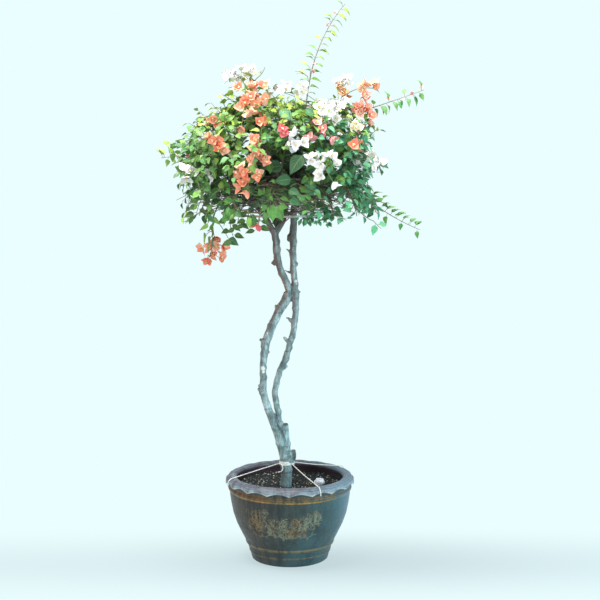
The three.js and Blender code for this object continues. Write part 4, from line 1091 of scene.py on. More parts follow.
def makeHoop():
    x, y = hoop["centre"]
    radius, height, rod, steps, sides = (hoop[label] for label in ("radius", "height", "rod", "steps", "sides"))
    shape = newShape()
    angles = np.linspace(0, 2 * math.pi, steps + 1)[:-1]
    ring = np.stack([x + radius * np.cos(angles), y + radius * np.sin(angles), np.full(steps, height)], axis=1) * mm
    turns = 2 * math.pi * np.arange(sides) / sides
    out = np.stack([np.cos(angles), np.sin(angles), np.zeros(steps)], axis=1)
    thick = rod * mm * (1 + hoop["uneven"] * np.array([noise.noise((a * 9, 0, 0)) for a in angles]))
    points = (ring[:, None, :] + thick[:, None, None] * (
        np.cos(turns)[None, :, None] * out[:, None, :] + np.sin(turns)[None, :, None] * vec(0, 0, 1))).reshape(-1, 3)
    faces = [(r * sides + k, (r + 1) % steps * sides + k, (r + 1) % steps * sides + (k + 1) % sides,
              r * sides + (k + 1) % sides) for r in range(steps) for k in range(sides)]
    addPart(shape, points, faces)
    back = math.sqrt(radius ** 2 - (hoop["backBar"] - y) ** 2)
    side = math.sqrt(radius ** 2 - (hoop["sideBar"] - x) ** 2)
    for ends in (([x - back, hoop["backBar"], height], [x + back, hoop["backBar"], height]),
                 ([hoop["sideBar"], y - side, height], [hoop["sideBar"], y + side, height])):
        line = evenLine(metres(ends), 0.006)
        bumps = np.array([noise.noise((k * 0.7, 2, 0)) for k in range(len(line))])
        addTube(shape, line, rod * mm * (1 + hoop["uneven"] * bumps), sides)
    finishPiece("wire_hoop", shape, [rodFinish], ["training_frame"])


def ropePart(shape, line):
    # Three plies that wind round each other
    line = evenLine(line, twine["spacing"] * mm)
    run = np.arange(len(line)) * twine["spacing"] / twine["lay"] * 2 * math.pi
    angles = 2 * math.pi * np.arange(twine["sides"]) / twine["sides"]
    folds = np.abs(np.cos(twine["plies"] / 2 * (angles[None, :] - run[:, None])))
    addTube(shape, line, twine["radius"] * mm * (1 - twine["groove"] + twine["groove"] * folds), twine["sides"])
    return line


def makeStrand(name, places):
    shape = newShape()
    line = ropePart(shape, smoothLine(metres(places), 12))
    piece = finishPiece(name, shape, [twineFinish], ["guy_string"], sharp=80)


def makeTwine():
    turns = twine["turns"]
    shape = newShape()
    angles = np.linspace(0, 2 * math.pi * turns["count"], 40 * turns["count"])
    wound = np.stack([turns["centre"][0] + turns["radius"][0] * np.cos(angles),
                      turns["centre"][1] + turns["radius"][1] * np.sin(angles),
                      np.linspace(turns["from"], turns["to"], len(angles))], axis=1) * mm
    ropePart(shape, wound)
    for place in twine["knots"]:
        points, faces = ball(3)
        dents = np.array([1 + 0.22 * noise.noise(Vector(p) * 2.5 + Vector(place)) for p in points])
        addPart(shape, points * dents[:, None] * twine["knotSize"] * mm + metres(place), faces)
    finishPiece("guy_turns", shape, [twineFinish], ["guy_string"], sharp=80)
    for name, (start, middle, turn) in twine["strands"].items():
        over = [[*turned(radius, math.radians(turn)), height] for radius, height in twine["overLip"]]
        makeStrand("guy_strand_" + name, [start, middle, *over])
    makeStrand("guy_tail", twine["tail"])


def weldedMesh(node):
    # Corners of a node without doubles, and the corners that share a face with each
    mesh = nodes[node].data
    found, places, index = {}, [], []
    for vertex in mesh.vertices:
        key = tuple(vertex.co)
        if key not in found:
            found[key] = len(places)
            places.append(key)
        index.append(found[key])
    links = [set() for _ in places]
    for polygon in mesh.polygons:
        corners = [index[k] for k in polygon.vertices]
        for a in corners:
            links[a].update(c for c in corners if c != a)
    return np.array(places), links


def makeTie(node, name):
    # The solid's loop, made round: its ring centres are found from its corners
    points, _ = weldedMesh(node)
    flat = points - points.mean(axis=0)
    order = np.argsort(np.arctan2(flat[:, 1], flat[:, 0]))
    rings = [points[group].mean(axis=0) for group in np.array_split(order, 12)]
    shape = newShape()
    addTube(shape, smoothLine([*rings, rings[0]], 8), ties["wire"] * mm, 8)
    finishPiece(name, shape, [twineFinish], [node])


makeHoop()
makeTwine()
for node, name in ties["pieces"].items():
    makeTie(node, name)
print("frame, ties and string ready")


# Leaves, bracts and flowers. A form is a grid that runs along and across the blade.

def bladeForm(along, across, half, table):
    u = np.repeat(np.linspace(0, 1, along + 1), across + 1)
    v = np.tile(np.linspace(-1, 1, across + 1), along + 1)
    width = half * np.interp(u, *np.array(table).T)
    row, count = across + 1, len(u)
    top = [(r * row + k, (r + 1) * row + k, (r + 1) * row + k + 1, r * row + k + 1)
           for r in range(along) for k in range(across)]
    under = [tuple(count + k for k in reversed(face)) for face in top]
    edge = ([k for k in range(row)] + [r * row + across for r in range(1, along + 1)]
            + [along * row + k for k in range(across - 1, -1, -1)] + [r * row for r in range(along - 1, 0, -1)])
    rim = [(a, b, count + b, count + a) for a, b in zip(edge, edge[1:] + edge[:1])]
    return {"u": u, "v": v, "width": width, "faces": top + under + rim}


# how far along the blade, and its share of the half width
leafOutline = [[0, 0.05], [0.06, 0.40], [0.16, 0.80], [0.3, 1.0], [0.45, 0.97], [0.6, 0.80], [0.74, 0.54],
               [0.86, 0.28], [0.94, 0.11], [1, 0.015]]
bractOutline = [[0, 0.10], [0.08, 0.48], [0.2, 0.84], [0.38, 1.0], [0.55, 0.95], [0.7, 0.76], [0.83, 0.50],
                [0.93, 0.24], [1, 0.03]]
leafForm = bladeForm(6, 4, 0.325, leafOutline)
smallForm = bladeForm(6, 2, 0.325, leafOutline)
bractForm = bladeForm(5, 4, 0.41, bractOutline)
underTint = vec(0.22, 0.34, 0.18)


def addBlade(shape, form, base, along, normal, length, tint, fold, arch, wave, draw, thick=0.45, finish=0, under=0.75):
    along = unit(along)
    side = unit(np.cross(normal, along))
    up = np.cross(along, side)
    u, v = form["u"], form["v"]
    across = v * form["width"] * length
    ripple = np.sin(u * draw.uniform(7, 12) + draw.uniform(0, 6)) * np.abs(v) ** 2 * wave * length
    swing = draw.uniform(-0.08, 0.08) * length * u ** 2
    height = fold * np.abs(across) - arch * length * u ** 2 + ripple + draw.uniform(-0.25, 0.25) * across * u
    top = base + np.outer(u * length * (1 - 0.25 * abs(arch)), along) + np.outer(across + swing, side)
    top = top + np.outer(height, up)
    place = np.stack([u, v, np.full_like(u, draw.random())], axis=1)
    if finish == 0:
        tint = np.repeat([tint, np.asarray(tint) * under + (1 - under) * underTint], len(u), axis=0)
    addPart(shape, np.concatenate([top, top - up * thick * mm]), form["faces"], finish, tint,
            np.concatenate([place, place]))


# Crown: limbs and twigs as in the frame's own measures
crown = {"centre": vec(-42, 0, 1530), "half": vec(400, 370, 300)}
limbs = {
    "left": [[-57, -20, 1288], [-120, 18, 1420], [-235, -25, 1500]],
    "fork": [[-57, -20, 1288], [30, 16, 1392], [-45, -215, 1530]],
    "leader": [[15, 0, 1374], [30, -10, 1500], [-5, -5, 1665]],
    "southWest": [[-133, 4, 1409], [-160, -80, 1430], [-205, -190, 1510]],
    "northWest": [[-118, 3, 1398], [-140, 80, 1440], [-190, 165, 1525]],
    "southEast": [[17, -2, 1415], [95, -60, 1440], [140, -175, 1525]],
    "east": [[19, -3, 1440], [110, 10, 1465], [205, 0, 1545]],
    "northEast": [[20, -4, 1462], [80, 80, 1480], [145, 165, 1550]],
    "north": [[19, -5, 1490], [-10, 110, 1500], [-45, 195, 1560]],
    "topLeft": [[17, -6, 1515], [-50, -10, 1600], [-135, -45, 1700]],
    "topRight": [[14, -6, 1550], [50, 0, 1640], [130, -30, 1720]],
}
# limb, how far along it, bend, tip
sprays = {
    "left_low": ["left", 0.9, [-350, -40, 1520], [-400, -40, 1375]],
    "left_tip": ["left", 1, [-360, -30, 1610], [-490, -55, 1584]],
    "hanging_left": ["left", 0.72, [-300, -90, 1450], [-296, -78, 1290]],
    "left_front_low": ["southWest", 0.8, [-300, -190, 1490], [-335, -225, 1375]],
    "left_front": ["southWest", 1, [-300, -215, 1580], [-362, -212, 1520]],
    "front_left_low": ["southWest", 0.65, [-215, -280, 1490], [-195, -335, 1395]],
    "front_left_mid": ["southWest", 0.92, [-215, -225, 1620], [-245, -262, 1612]],
    "front_low": ["fork", 0.8, [-60, -310, 1510], [-70, -345, 1402]],
    "front_mid_left": ["fork", 1, [-85, -290, 1640], [-104, -322, 1662]],
    "front_mid": ["fork", 0.93, [-10, -250, 1640], [-20, -305, 1668]],
    "front_right_low": ["southEast", 0.75, [100, -290, 1490], [95, -335, 1405]],
    "front_mid_right": ["southEast", 0.95, [100, -260, 1610], [110, -315, 1592]],
    "right_front_low": ["southEast", 0.88, [230, -230, 1500], [250, -260, 1375]],
    "right_front_mid": ["southEast", 1, [215, -190, 1600], [238, -225, 1606]],
    "right_low": ["east", 0.85, [290, -130, 1510], [325, -150, 1385]],
    "right_trail": ["east", 1, [290, -5, 1395], [503, -40, 1308]],
    "right_mid": ["east", 0.95, [300, 60, 1620], [352, 60, 1545]],
    "right_back_low": ["northEast", 0.8, [240, 200, 1490], [265, 215, 1375]],
    "back_right_mid": ["northEast", 1, [190, 240, 1640], [220, 270, 1570]],
    "back_low": ["north", 0.85, [0, 300, 1500], [60, 350, 1380]],
    "back_mid": ["north", 1, [-60, 290, 1660], [-70, 350, 1590]],
    "left_back_low": ["northWest", 0.8, [-245, 225, 1495], [-215, 300, 1380]],
    "back_left_mid": ["northWest", 1, [-270, 220, 1620], [-320, 225, 1550]],
    "top_left_front": ["topLeft", 1, [-120, -70, 1770], [-125, -110, 1790]],
    "top_left": ["topLeft", 0.85, [-220, -30, 1760], [-285, -90, 1720]],
    "plume": ["topLeft", 0.93, [-130, 0, 1800], [-165, -30, 1848]],
    "top_front_right": ["topRight", 0.75, [90, -170, 1760], [118, -250, 1705]],
    "right_top": ["topRight", 0.9, [190, 10, 1790], [238, -30, 1765]],
    "top_back": ["leader", 1, [-20, 90, 1810], [-10, 205, 1770]],
    "top_shoot": ["topRight", 0.5, [47, -40, 1979], [210, -40, 2163]],
    "right_shoot": ["topRight", 1, [300, -40, 1765], [512, -40, 1842]],
}
openShoots = ("top_shoot", "right_shoot", "right_trail", "left_tip")
# spray, how far along it, bend, tip, colour
blooms = {
    "orange_crest": ["top_left_front", 1, [-140, -190, 1860], [-175, -265, 1705], "orange"],
    "orange_left": ["front_left_mid", 1, [-262, -290, 1640], [-290, -290, 1660], "orange"],
    "orange_left_high": ["top_left", 1, [-300, -130, 1730], [-285, -180, 1728], "orange"],
    "orange_chain": ["front_mid_left", 1, [-100, -385, 1600], [-155, -365, 1475], "orange"],
    "orange_hanging": ["hanging_left", 1, [-296, -70, 1230], [-312, -50, 1200], "orange"],
    "orange_right": ["right_top", 1, [285, -50, 1790], [275, -50, 1715], "orange"],
    "orange_right_high": ["right_top", 0.44, [215, -30, 1862], [318, -40, 1848], "orange"],
    "orange_right_low": ["right_front_mid", 1, [240, -245, 1620], [238, -265, 1630], "orange"],
    "red_front": ["front_mid", 1, [-22, -320, 1680], [-22, -338, 1690], "red"],
    "red_right": ["top_front_right", 1, [130, -285, 1700], [155, -305, 1665], "red"],
    "red_low": ["front_low", 0.72, [-105, -320, 1420], [-114, -315, 1350], "red"],
    "white_plume": ["plume", 1, [-175, -40, 1905], [-228, -48, 1885], "white"],
    "white_front": ["front_mid_right", 1, [95, -385, 1610], [160, -362, 1505], "white"],
    "white_mid": ["front_mid", 0.65, [30, -290, 1650], [48, -345, 1648], "white"],
    "white_left": ["left_front", 1, [-395, -220, 1520], [-385, -262, 1545], "white"],
    "white_top": ["top_front_right", 0.416, [110, -110, 1830], [195, -90, 1800], "white"],
    "cream_right": ["top_front_right", 0.72, [175, -165, 1765], [230, -150, 1718], "cream"],
    "white_right": ["right_front_mid", 0.65, [270, -200, 1580], [305, -215, 1560], "white"],
    "orange_back": ["back_mid", 1, [-80, 395, 1560], [-110, 375, 1500], "orange"],
    "white_back": ["back_right_mid", 1, [240, 300, 1550], [250, 300, 1500], "white"],
    "red_back": ["back_left_mid", 1, [-350, 235, 1530], [-360, 250, 1500], "red"],
}
bractTints = {
    "orange": [(0.92, 0.26, 0.11), (0.97, 0.36, 0.19), (0.90, 0.18, 0.07), (0.98, 0.46, 0.30), (0.95, 0.30, 0.16)],
    "red": [(0.74, 0.015, 0.025), (0.78, 0.035, 0.055), (0.86, 0.11, 0.15)],
    "white": [(0.94, 0.92, 0.95), (0.96, 0.95, 0.97), (0.91, 0.88, 0.95), (0.96, 0.94, 0.92)],
    "cream": [(0.96, 0.90, 0.68), (0.96, 0.92, 0.78), (0.95, 0.86, 0.62)],
    "red_right": [(0.82, 0.14, 0.17), (0.88, 0.26, 0.28), (0.92, 0.42, 0.42)],
    "orange_right": [(0.95, 0.36, 0.26), (0.97, 0.46, 0.36), (0.96, 0.30, 0.19)],
    "orange_right_high": [(0.98, 0.52, 0.26), (0.98, 0.58, 0.36), (0.96, 0.42, 0.20)],
    "orange_crest": [(0.94, 0.33, 0.16), (0.97, 0.42, 0.25), (0.96, 0.24, 0.10), (0.98, 0.52, 0.36)],
}
# bunches of further flowers: middle, how far they stand from it, how many
bunches = {
    "orange_crest": [[-183, -170, 1838, 16, 3], [-146, -175, 1835, 18, 4], [-112, -170, 1838, 18, 4],
                     [-170, -230, 1775, 16, 4], [-141, -215, 1797, 18, 5], [-136, -265, 1735, 16, 4],
                     [-104, -225, 1775, 15, 4], [-82, -200, 1790, 12, 2], [-113, -275, 1717, 7, 1],
                     [-73, -275, 1720, 7, 1]],
    "orange_left": [[-271, -280, 1655, 12, 2], [-245, -290, 1619, 13, 3]],
    "orange_left_high": [[-276, -176, 1724, 8, 1]],
    "orange_chain": [[-134, -330, 1652, 14, 3], [-122, -355, 1609, 16, 4], [-97, -355, 1580, 14, 4],
                     [-166, -355, 1544, 16, 4], [-115, -360, 1534, 14, 3], [-163, -350, 1490, 14, 3],
                     [-203, -330, 1518, 8, 1]],
    "orange_hanging": [[-291, -50, 1289, 12, 2], [-330, -50, 1243, 10, 2], [-264, -50, 1250, 14, 3],
                       [-315, -50, 1208, 14, 3], [-269, -50, 1200, 10, 2]],
    "orange_right": [[272, -60, 1758, 20, 5], [291, -60, 1740, 18, 4], [257, -60, 1766, 12, 2],
                     [272, -40, 1811, 16, 3], [287, -60, 1717, 9, 1], [266, -130, 1676, 9, 1]],
    "orange_right_high": [[284, -40, 1850, 14, 3], [330, -40, 1850, 12, 2], [180, -70, 1850, 12, 2]],
    "orange_right_low": [[244, -215, 1632, 14, 2]],
    "red_front": [[-25, -335, 1679, 5, 1]],
    "red_right": [[106, -250, 1702, 12, 2], [73, -290, 1655, 8, 2]],
    "white_plume": [[-228, -40, 1872, 22, 4], [-184, -40, 1890, 22, 5], [-150, -40, 1900, 20, 4],
                    [-127, -40, 1900, 16, 3]],
    "white_front": [[76, -350, 1587, 10, 2], [148, -345, 1584, 14, 3], [123, -350, 1530, 12, 3],
                    [160, -335, 1562, 10, 2]],
    "white_mid": [[28, -340, 1672, 8, 1], [22, -340, 1640, 7, 1]],
    "white_left": [[-365, -215, 1532, 13, 3], [-303, -250, 1526, 8, 1], [-269, -270, 1516, 8, 1]],
    "white_top": [[-77, -110, 1847, 18, 3], [-16, -130, 1828, 24, 4], [44, -120, 1832, 24, 4],
                  [184, -60, 1849, 22, 4], [211, -60, 1864, 18, 3], [114, -190, 1772, 20, 5], [132, -215, 1735, 14, 3],
                  [174, -180, 1765, 18, 4], [173, -200, 1735, 14, 3]],
    "cream_right": [[233, -190, 1695, 16, 3]],
    "white_right": [[322, -190, 1590, 14, 3], [336, -180, 1562, 10, 2]],
    "orange_back": [[-60, 370, 1600, 30, 5], [-120, 375, 1520, 24, 4]],
    "white_back": [[240, 290, 1560, 26, 5], [200, 250, 1650, 20, 3]],
    "red_back": [[-350, 245, 1520, 20, 3], [-300, 260, 1600, 16, 2]],
}
# the top tints are partly the yellow-green of young leaves and partly painted light from above
leafTints = {
    "top": [(0.34, 0.50, 0.05), (0.44, 0.56, 0.07), (0.22, 0.42, 0.05), (0.52, 0.60, 0.10), (0.12, 0.30, 0.05)],
    "body": [(0.075, 0.24, 0.048), (0.12, 0.32, 0.055), (0.038, 0.14, 0.040), (0.17, 0.37, 0.06)],
    "right": [(0.060, 0.33, 0.160), (0.110, 0.44, 0.22), (0.030, 0.17, 0.090), (0.19, 0.52, 0.28)],
    "left": [(0.13, 0.31, 0.05), (0.27, 0.45, 0.08), (0.05, 0.15, 0.04), (0.17, 0.31, 0.09), (0.07, 0.24, 0.06)],
}
shootTints = [(0.30, 0.52, 0.06), (0.18, 0.42, 0.06), (0.44, 0.58, 0.10)]
# inner and deep are painted shade: leaves darkened inside the crown
darkTints = {"inner": (0.030, 0.088, 0.034), "deep": (0.016, 0.050, 0.026), "large": (0.055, 0.205, 0.090),
             "largeBright": (0.10, 0.29, 0.06), "hanger": (0.085, 0.18, 0.05), "hangerRight": (0.05, 0.24, 0.11)}
stems = {  # radii in mm at the foot and the tip, and the tint
    "spray": (3.9, 1.5, (0.11, 0.10, 0.06)), "shoot": (2.8, 0.9, (0.27, 0.24, 0.19)),
    "twiglet": (1.5, 0.8, (0.14, 0.19, 0.06)), "flower": (1.9, 1.3, (0.20, 0.26, 0.09)),
    "canopy": (2.1, 0.8, (0.13, 0.13, 0.06)), "deep": (1.8, 1.0, (0.05, 0.045, 0.03)),
    "large": (2.0, 1.1, (0.12, 0.13, 0.06)), "hanger": (2.2, 0.9, (0.12, 0.10, 0.05)),
    "fringe": (1.7, 0.8, (0.15, 0.14, 0.08)),
}
sideStems = {"spray": (2.1, 1.3), "shoot": (1.4, 0.8), "flower": (1.1, 0.9), "bunch": (1.5, 1.0),
             "inBunch": (1.0, 0.8), "tangle": (1.4, 0.8)}  # the radii of their branches
stalkTint = (0.16, 0.25, 0.07)
pinkTint, tubeTint = (0.93, 0.40, 0.38), (0.88, 0.80, 0.50)
# lengths of leaves and bracts in mm
leafSizes = {"twiglet": (29, 46), "spray": (32, 48), "shoot": (27, 40), "canopy": (26, 42), "inner": (34, 60),
             "deep": (48, 70), "hanger": (30, 42), "fringe": (14, 24)}
bractSizes = {"red": (29, 33), "orange": (35, 40), "white": (35, 40), "cream": (35, 40), "bunch": (27, 36),
              "pink": (12, 19)}


def outward(place):
    return unit((place / mm - crown["centre"]) / crown["half"] ** 2)


def depthIn(place):
    # 0 at the middle of the crown, 1 at its outside
    return float(np.linalg.norm((place / mm - crown["centre"]) / crown["half"]))


def sized(reach, draw):
    return draw.uniform(*reach) * mm


def shaded(tint, low, high, draw):
    return vec(*tint) * draw.uniform(low, high)


def leafTint(place, draw):
    # Leaves high on the crown take the top tints: partly young leaves, partly painted light from above. Leaves deeper
    # inside the crown are darkened: painted shade.
    x, _, z = place / mm
    high = clamp((z - 1660) / 130 + draw.uniform(-0.35, 0.35))
    family = "top" if draw.random() < high else "body"
    if family == "body" and x > 60 and draw.random() < min(1.0, (x - 60) / 200):
        family = "right"
    elif family == "body" and x < -150 and draw.random() < 0.55:
        family = "left"
    tint = shaded(draw.choice(leafTints[family]), 0.65, 1.35, draw)
    return np.minimum(tint * min(1.0, max(0.16, (depthIn(place) - 0.37) * 1.5)), 0.9)


def leafShare(place):
    # How many leaves stay here: few under the crown, and an open, dark place at its front
    x, y, z = place / mm
    if z < 1385:
        return 0.5 if x < -110 else 0.35 if x > 260 else 0.1
    if z < 1490 and -250 < x < 250 and y < 60:
        return 0.25 if z < 1412 else 0.25 + 0.35 * (z - 1412) / 78
    if x < -250 and z < 1470:
        return 0.42 if x > -340 else 0.28
    if x > 300 and z < 1630:
        return 0.5
    if -112 < x < 52 and 1485 < z < 1630 and y < -120:
        return 0.13
    return 0.55 if z > 1815 else 1.0


def findBlades(node):
    # Foot, tip and face of each solid blade: its two crests share an outline of five corners
    places, links = weldedMesh(node)
    made = []
    for a in range(len(places)):
        if len(links[a]) != 7:
            continue
        for b in set().union(*(links[k] for k in links[a])):
            if b <= a or len(links[b]) != 7 or not 0.0012 < np.linalg.norm(places[a] - places[b]) < 0.003:
                continue
            outline = links[a] & links[b]
            if len(outline) != 5:
                continue
            mouth = (links[a] | links[b]) - outline - {a, b}
            base = np.mean([places[k] for k in mouth], axis=0)
            tip = max((places[k] for k in outline), key=lambda p: np.linalg.norm(p - base))
            normal = unit(places[a] - places[b])
            made.append((base, tip, normal if normal @ outward(base) > 0 else -normal))
    return sorted(made, key=lambda blade: tuple(blade[0]))


def findFlowers(node):
    # Foot, axis and first bract of each solid flower: its centre has twelve corners round it
    places, links = weldedMesh(node)
    made = []
    for a in range(len(places)):
        if len(links[a]) == 12:
            ring = np.array([places[k] for k in links[a]])
            axis = unit(ring.mean(axis=0) - places[a])
            off = ring - places[a]
            first = off[int(np.argmax(np.linalg.norm(off - np.outer(off @ axis, axis), axis=1)))]
            made.append((places[a] - axis * 12 * mm, axis, unit(flattened(first, axis))))
    return sorted(made, key=lambda flower: tuple(flower[0]))


def nearestOn(line, place):
    return int(np.argmin(np.linalg.norm(line - place, axis=1)))


def flattened(arrow, face, share=1.0):
    # An arrow laid into the plane of a face, wholly or in part
    return arrow - face * (arrow @ face) * share


def swung(first, second, angle):
    return first * math.cos(angle) + second * math.sin(angle)


def leafOn(shape, foot, along, normal, length, draw, tint=None, stalk=None, arch=None, fine=0.038):
    # A leaf with its stalk, from its foot on a twig
    along = unit(along)
    base = foot + along * (stalk or draw.uniform(7, 13) * mm) + normal * 0.0015
    tint = leafTint(base, draw) if tint is None else tint
    addTube(shape, [foot - along * 0.001, (foot + base) / 2 + normal * 0.0006, base + along * 0.002],
            [0.0009, 0.0007, 0.0006], 3, 1, stalkTint)
    addBlade(shape, leafForm if length > fine else smallForm, base, along, normal, length, tint,
             draw.uniform(0.15, 0.5), arch or draw.uniform(0.04, 0.30), draw.uniform(0.005, 0.03), draw)


def addTwiglet(shape, start, tip, normal, draw, leaves):
    # A short twig with leaves to the left and right in turn, and one at its end
    bend, end = (start + tip) / 2 + normal * 0.008 + jitter(draw, 0.003), start + (tip - start) * 0.8
    thick, thin, tint = stems["twiglet"]
    line = addBranch(shape, start, bend, end, 5, thick, thin, shaded(tint, 0.7, 1.2, draw))
    direction = unit(tip - start)
    for k in range(leaves):
        foot = line[min(5, int(round((k + 0.55) / leaves * 5)))]
        if draw.random() > leafShare(foot + (tip - start) * 0.25):
            continue
        turn = 0 if k == leaves - 1 else (1 if k % 2 else -1) * draw.uniform(0.7, 1.15)
        face = unit(normal * 0.75 + outward(foot) * 0.35 + vec(0, 0, 0.35) + jitter(draw, 0.3))
        along = swung(direction, unit(np.cross(face, direction)), turn) + vec(0, 0, -0.22) + jitter(draw, 0.12)
        leafOn(shape, foot, flattened(along, face, 0.75), face, sized(leafSizes["twiglet"], draw), draw)


def shootLeaf(shape, foot, line, k, side, draw):
    # A leaf of an open shoot: it stands off to one side and arches down
    tangent = unit(line[min(40, k + 1)] - line[k - 1])
    off = np.cross(tangent, [0, 1, 0])
    off = unit(off) * (1 if off[0] > 0 else -1)
    along = unit(off * side * 0.9 + tangent * 0.25 + vec(0, draw.uniform(-0.6, 0.6), 0.12))
    face = unit(vec(0, -0.25, 1) + jitter(draw, 0.2))
    tint = vec(*draw.choice(shootTints))
    if foot[0] > 0.30:
        tint = tint * [0.55, 0.85, 1.6]
    leafOn(shape, foot, along, face, sized(leafSizes["shoot"], draw), draw, tint=tint * draw.uniform(0.8, 1.15),
           stalk=draw.uniform(8, 15) * mm, arch=draw.uniform(0.35, 0.6))


def limbPoint(limb, at):
    start, middle, end = (metres(place) for place in limbs[limb])
    return (1 - at) ** 2 * start + 2 * at * (1 - at) * middle + at ** 2 * end


def sprayLine(name):
    limb, at, bend, tip = sprays[name]
    return bentLine(limbPoint(limb, at), metres(bend), metres(tip), 40)


supports = searchTree(np.concatenate(
    [sprayLine(name)[4:32:2] for name in sprays if name not in openShoots]
    + [bentLine(*(metres(place) for place in limb), 16)[6:] for limb in limbs.values()]))


def dressShoot(shape, line, blades, draw):
    # An open shoot: single leaves on both sides, and pairs of small pink bracts
    woody = vec(*stems["shoot"][-1])
    addStem(shape, line[::2], *stems["shoot"], 7)
    for base, tip, _ in blades:
        k = nearestOn(line, base)
        if np.linalg.norm(line[k] - base) > 0.012:
            addBranch(shape, line[max(0, k - 3)], (line[k] + base) / 2, base, 4, *sideStems["shoot"], woody * 1.4)
        shootLeaf(shape, base, line, k, 1 if (tip - base)[0] > 0 else -1, draw)
    for n, k in enumerate(range(9, 40, 3)):
        shootLeaf(shape, line[k], line, k, 1 if n % 2 else -1, draw)
        if draw.random() < 0.4:
            out = unit(jitter(draw, 1) + vec(0, -0.6, 0.2))
            foot = line[k] + out * 0.009
            addTube(shape, [line[k], foot], 0.0006, 4, 1, woody)
            for turn in (-0.5, 0.6):
                face = unit(np.cross(out, [math.sin(turn), 0.4, math.cos(turn)]))
                addBlade(shape, bractForm, foot, out + face * turn, face, sized(bractSizes["pink"], draw),
                         pinkTint, 0.5, 0.1, 0.02, draw, 0.35, 2)
    return len(blades) + n + 1


def dressSpray(shape, line, blades, draw):
    # A spray of the dome: a twiglet in place of each solid blade, and leaves close to the twig inside
    woody = vec(*stems["spray"][-1])
    addStem(shape, line[::2], *stems["spray"], 7)
    made = 0
    for base, tip, normal in blades:
        k = nearestOn(line, base)
        gap = np.linalg.norm(line[k] - base)
        if gap > 0.010:
            addBranch(shape, line[max(0, k - int(gap / 0.014))], (line[k] + base) / 2 + jitter(draw, 0.004), base,
                      5, *sideStems["spray"], woody * 1.2)
        count = 3 if np.linalg.norm(tip - base) < 0.078 else 4
        reach = 0.80 if base[2] > 1.42 else 0.66
        addTwiglet(shape, base, base + (tip - base) * reach, normal, draw, count)
        made += count
    for k in range(8, 40, 4):
        spot = line[k]
        if draw.random() > leafShare(spot):
            continue
        turn = draw.uniform(0, 2 * math.pi)
        tangent = unit(line[k + 1] - line[k - 1])
        side = unit(np.cross(tangent, [0.3, 0.5, 0.8]))
        along = swung(side, np.cross(tangent, side), turn) + tangent * 0.4
        leafOn(shape, spot, along, unit(outward(spot) + jitter(draw, 0.4)), sized(leafSizes["spray"], draw), draw)
        made += 1
    return made


def makeSpray(name):
    shape = newShape()
    blades = findBlades("spray_" + name)
    dressed = dressShoot if name in openShoots else dressSpray
    made = dressed(shape, sprayLine(name), blades, random.Random("spray " + name))
    finishPiece("leaves_" + name, shape, [leafFinish, twigFinish, bractFinish], ["spray_" + name], sharp=65)
    return len(blades), made


def addTrio(shape, base, axis, first, size, tints, draw):
    # Three bracts round three small tube flowers
    second = np.cross(axis, first)
    tint = shaded(draw.choice(tints), 0.92, 1.05, draw)
    start = draw.uniform(-0.15, 0.15)
    for k in range(3):
        out = swung(first, second, start + 2 * math.pi * k / 3 + draw.uniform(-0.12, 0.12))
        tilt = draw.uniform(0.52, 0.86)
        face = axis * math.sin(tilt) - out * math.cos(tilt)
        shade = np.minimum(tint * draw.uniform(0.92, 1.06), 0.97)
        addBlade(shape, bractForm, base, swung(axis, out, tilt), face, size * draw.uniform(0.88, 1.04), shade,
                 draw.uniform(0.05, 0.35), draw.uniform(0.0, 0.22), draw.uniform(0.015, 0.045), draw, 0.35, 0, 0.93)
    for k in range(3):
        out = swung(first, second, start + 2 * math.pi * (k + 0.5) / 3)
        tip = base + axis * size * draw.uniform(0.42, 0.55) + out * size * 0.10
        addTube(shape, [base + out * 0.001, (base + tip) / 2 + out * 0.001, tip - axis * 0.002, tip],
                [0.0011, 0.0013, 0.0012, 0.0024], 5, 0, tubeTint)


def stalkLine(name):
    spray, at, bend, tip, _ = blooms[name]
    twig = sprayLine(spray)
    start, bend, tip = twig[int(round(at * 40))], metres(bend), metres(tip)
    rise = unit(twig[40] - twig[38]) if at > 0.99 else unit(bend - start)
    knee = start + rise * 0.3 * np.linalg.norm(start - bend)
    t = np.linspace(0, 1, 25)[:, None]
    return (1 - t) ** 3 * start + 3 * (1 - t) ** 2 * t * knee + 3 * (1 - t) * t ** 2 * bend + t ** 3 * tip


def makeBloom(name):
    colour = blooms[name][-1]
    draw = random.Random("bloom " + name)
    tints = bractTints.get(name, bractTints[colour])
    tint = stems["flower"][-1]
    shape = newShape()
    line = stalkLine(name)
    addStem(shape, line, *stems["flower"], 6)
    flowers = findFlowers("bloom_" + name)
    for base, axis, first in flowers:
        near = line[nearestOn(line, base)]
        if np.linalg.norm(near - base) > 0.002:
            addBranch(shape, near, (near + base) / 2 + jitter(draw, 0.002), base + axis * 0.002, 4,
                      *sideStems["flower"], tint)
        addTrio(shape, base, axis, first, sized(bractSizes[colour], draw), tints, draw)
    for x, y, z, spread, count in bunches.get(name, ()):
        centre = metres([x, y, z])
        foot = line[max(5, nearestOn(line, centre))]
        twig, _, away = supports.find(centre)
        if np.linalg.norm(foot - centre) >= away + 0.05:
            foot = np.array(twig)
        addBranch(shape, foot, (foot + centre) / 2 + vec(0, 0, 0.010) + jitter(draw, 0.003), centre, 8,
                  *sideStems["bunch"], tint)
        for _ in range(count):
            lean = unit(jitter(draw, 0.65) + outward(centre) * 0.5 + vec(0, -0.4 if y < 100 else 0.3, 0.25))
            beside = centre + lean * draw.uniform(0.4, 1.15) * spread * mm
            addBranch(shape, centre, (centre + beside) / 2 + jitter(draw, 0.002), beside + lean * 0.002, 3,
                      *sideStems["inBunch"], tint, 4)
            cross = unit(np.cross(lean, [0.2, 0.9, 0.4]))
            addTrio(shape, beside, lean, cross, sized(bractSizes["bunch"], draw), tints, draw)
    finishPiece("flowers_" + name, shape, [bractFinish, twigFinish], ["bloom_" + name], sharp=65)
    return len(flowers)


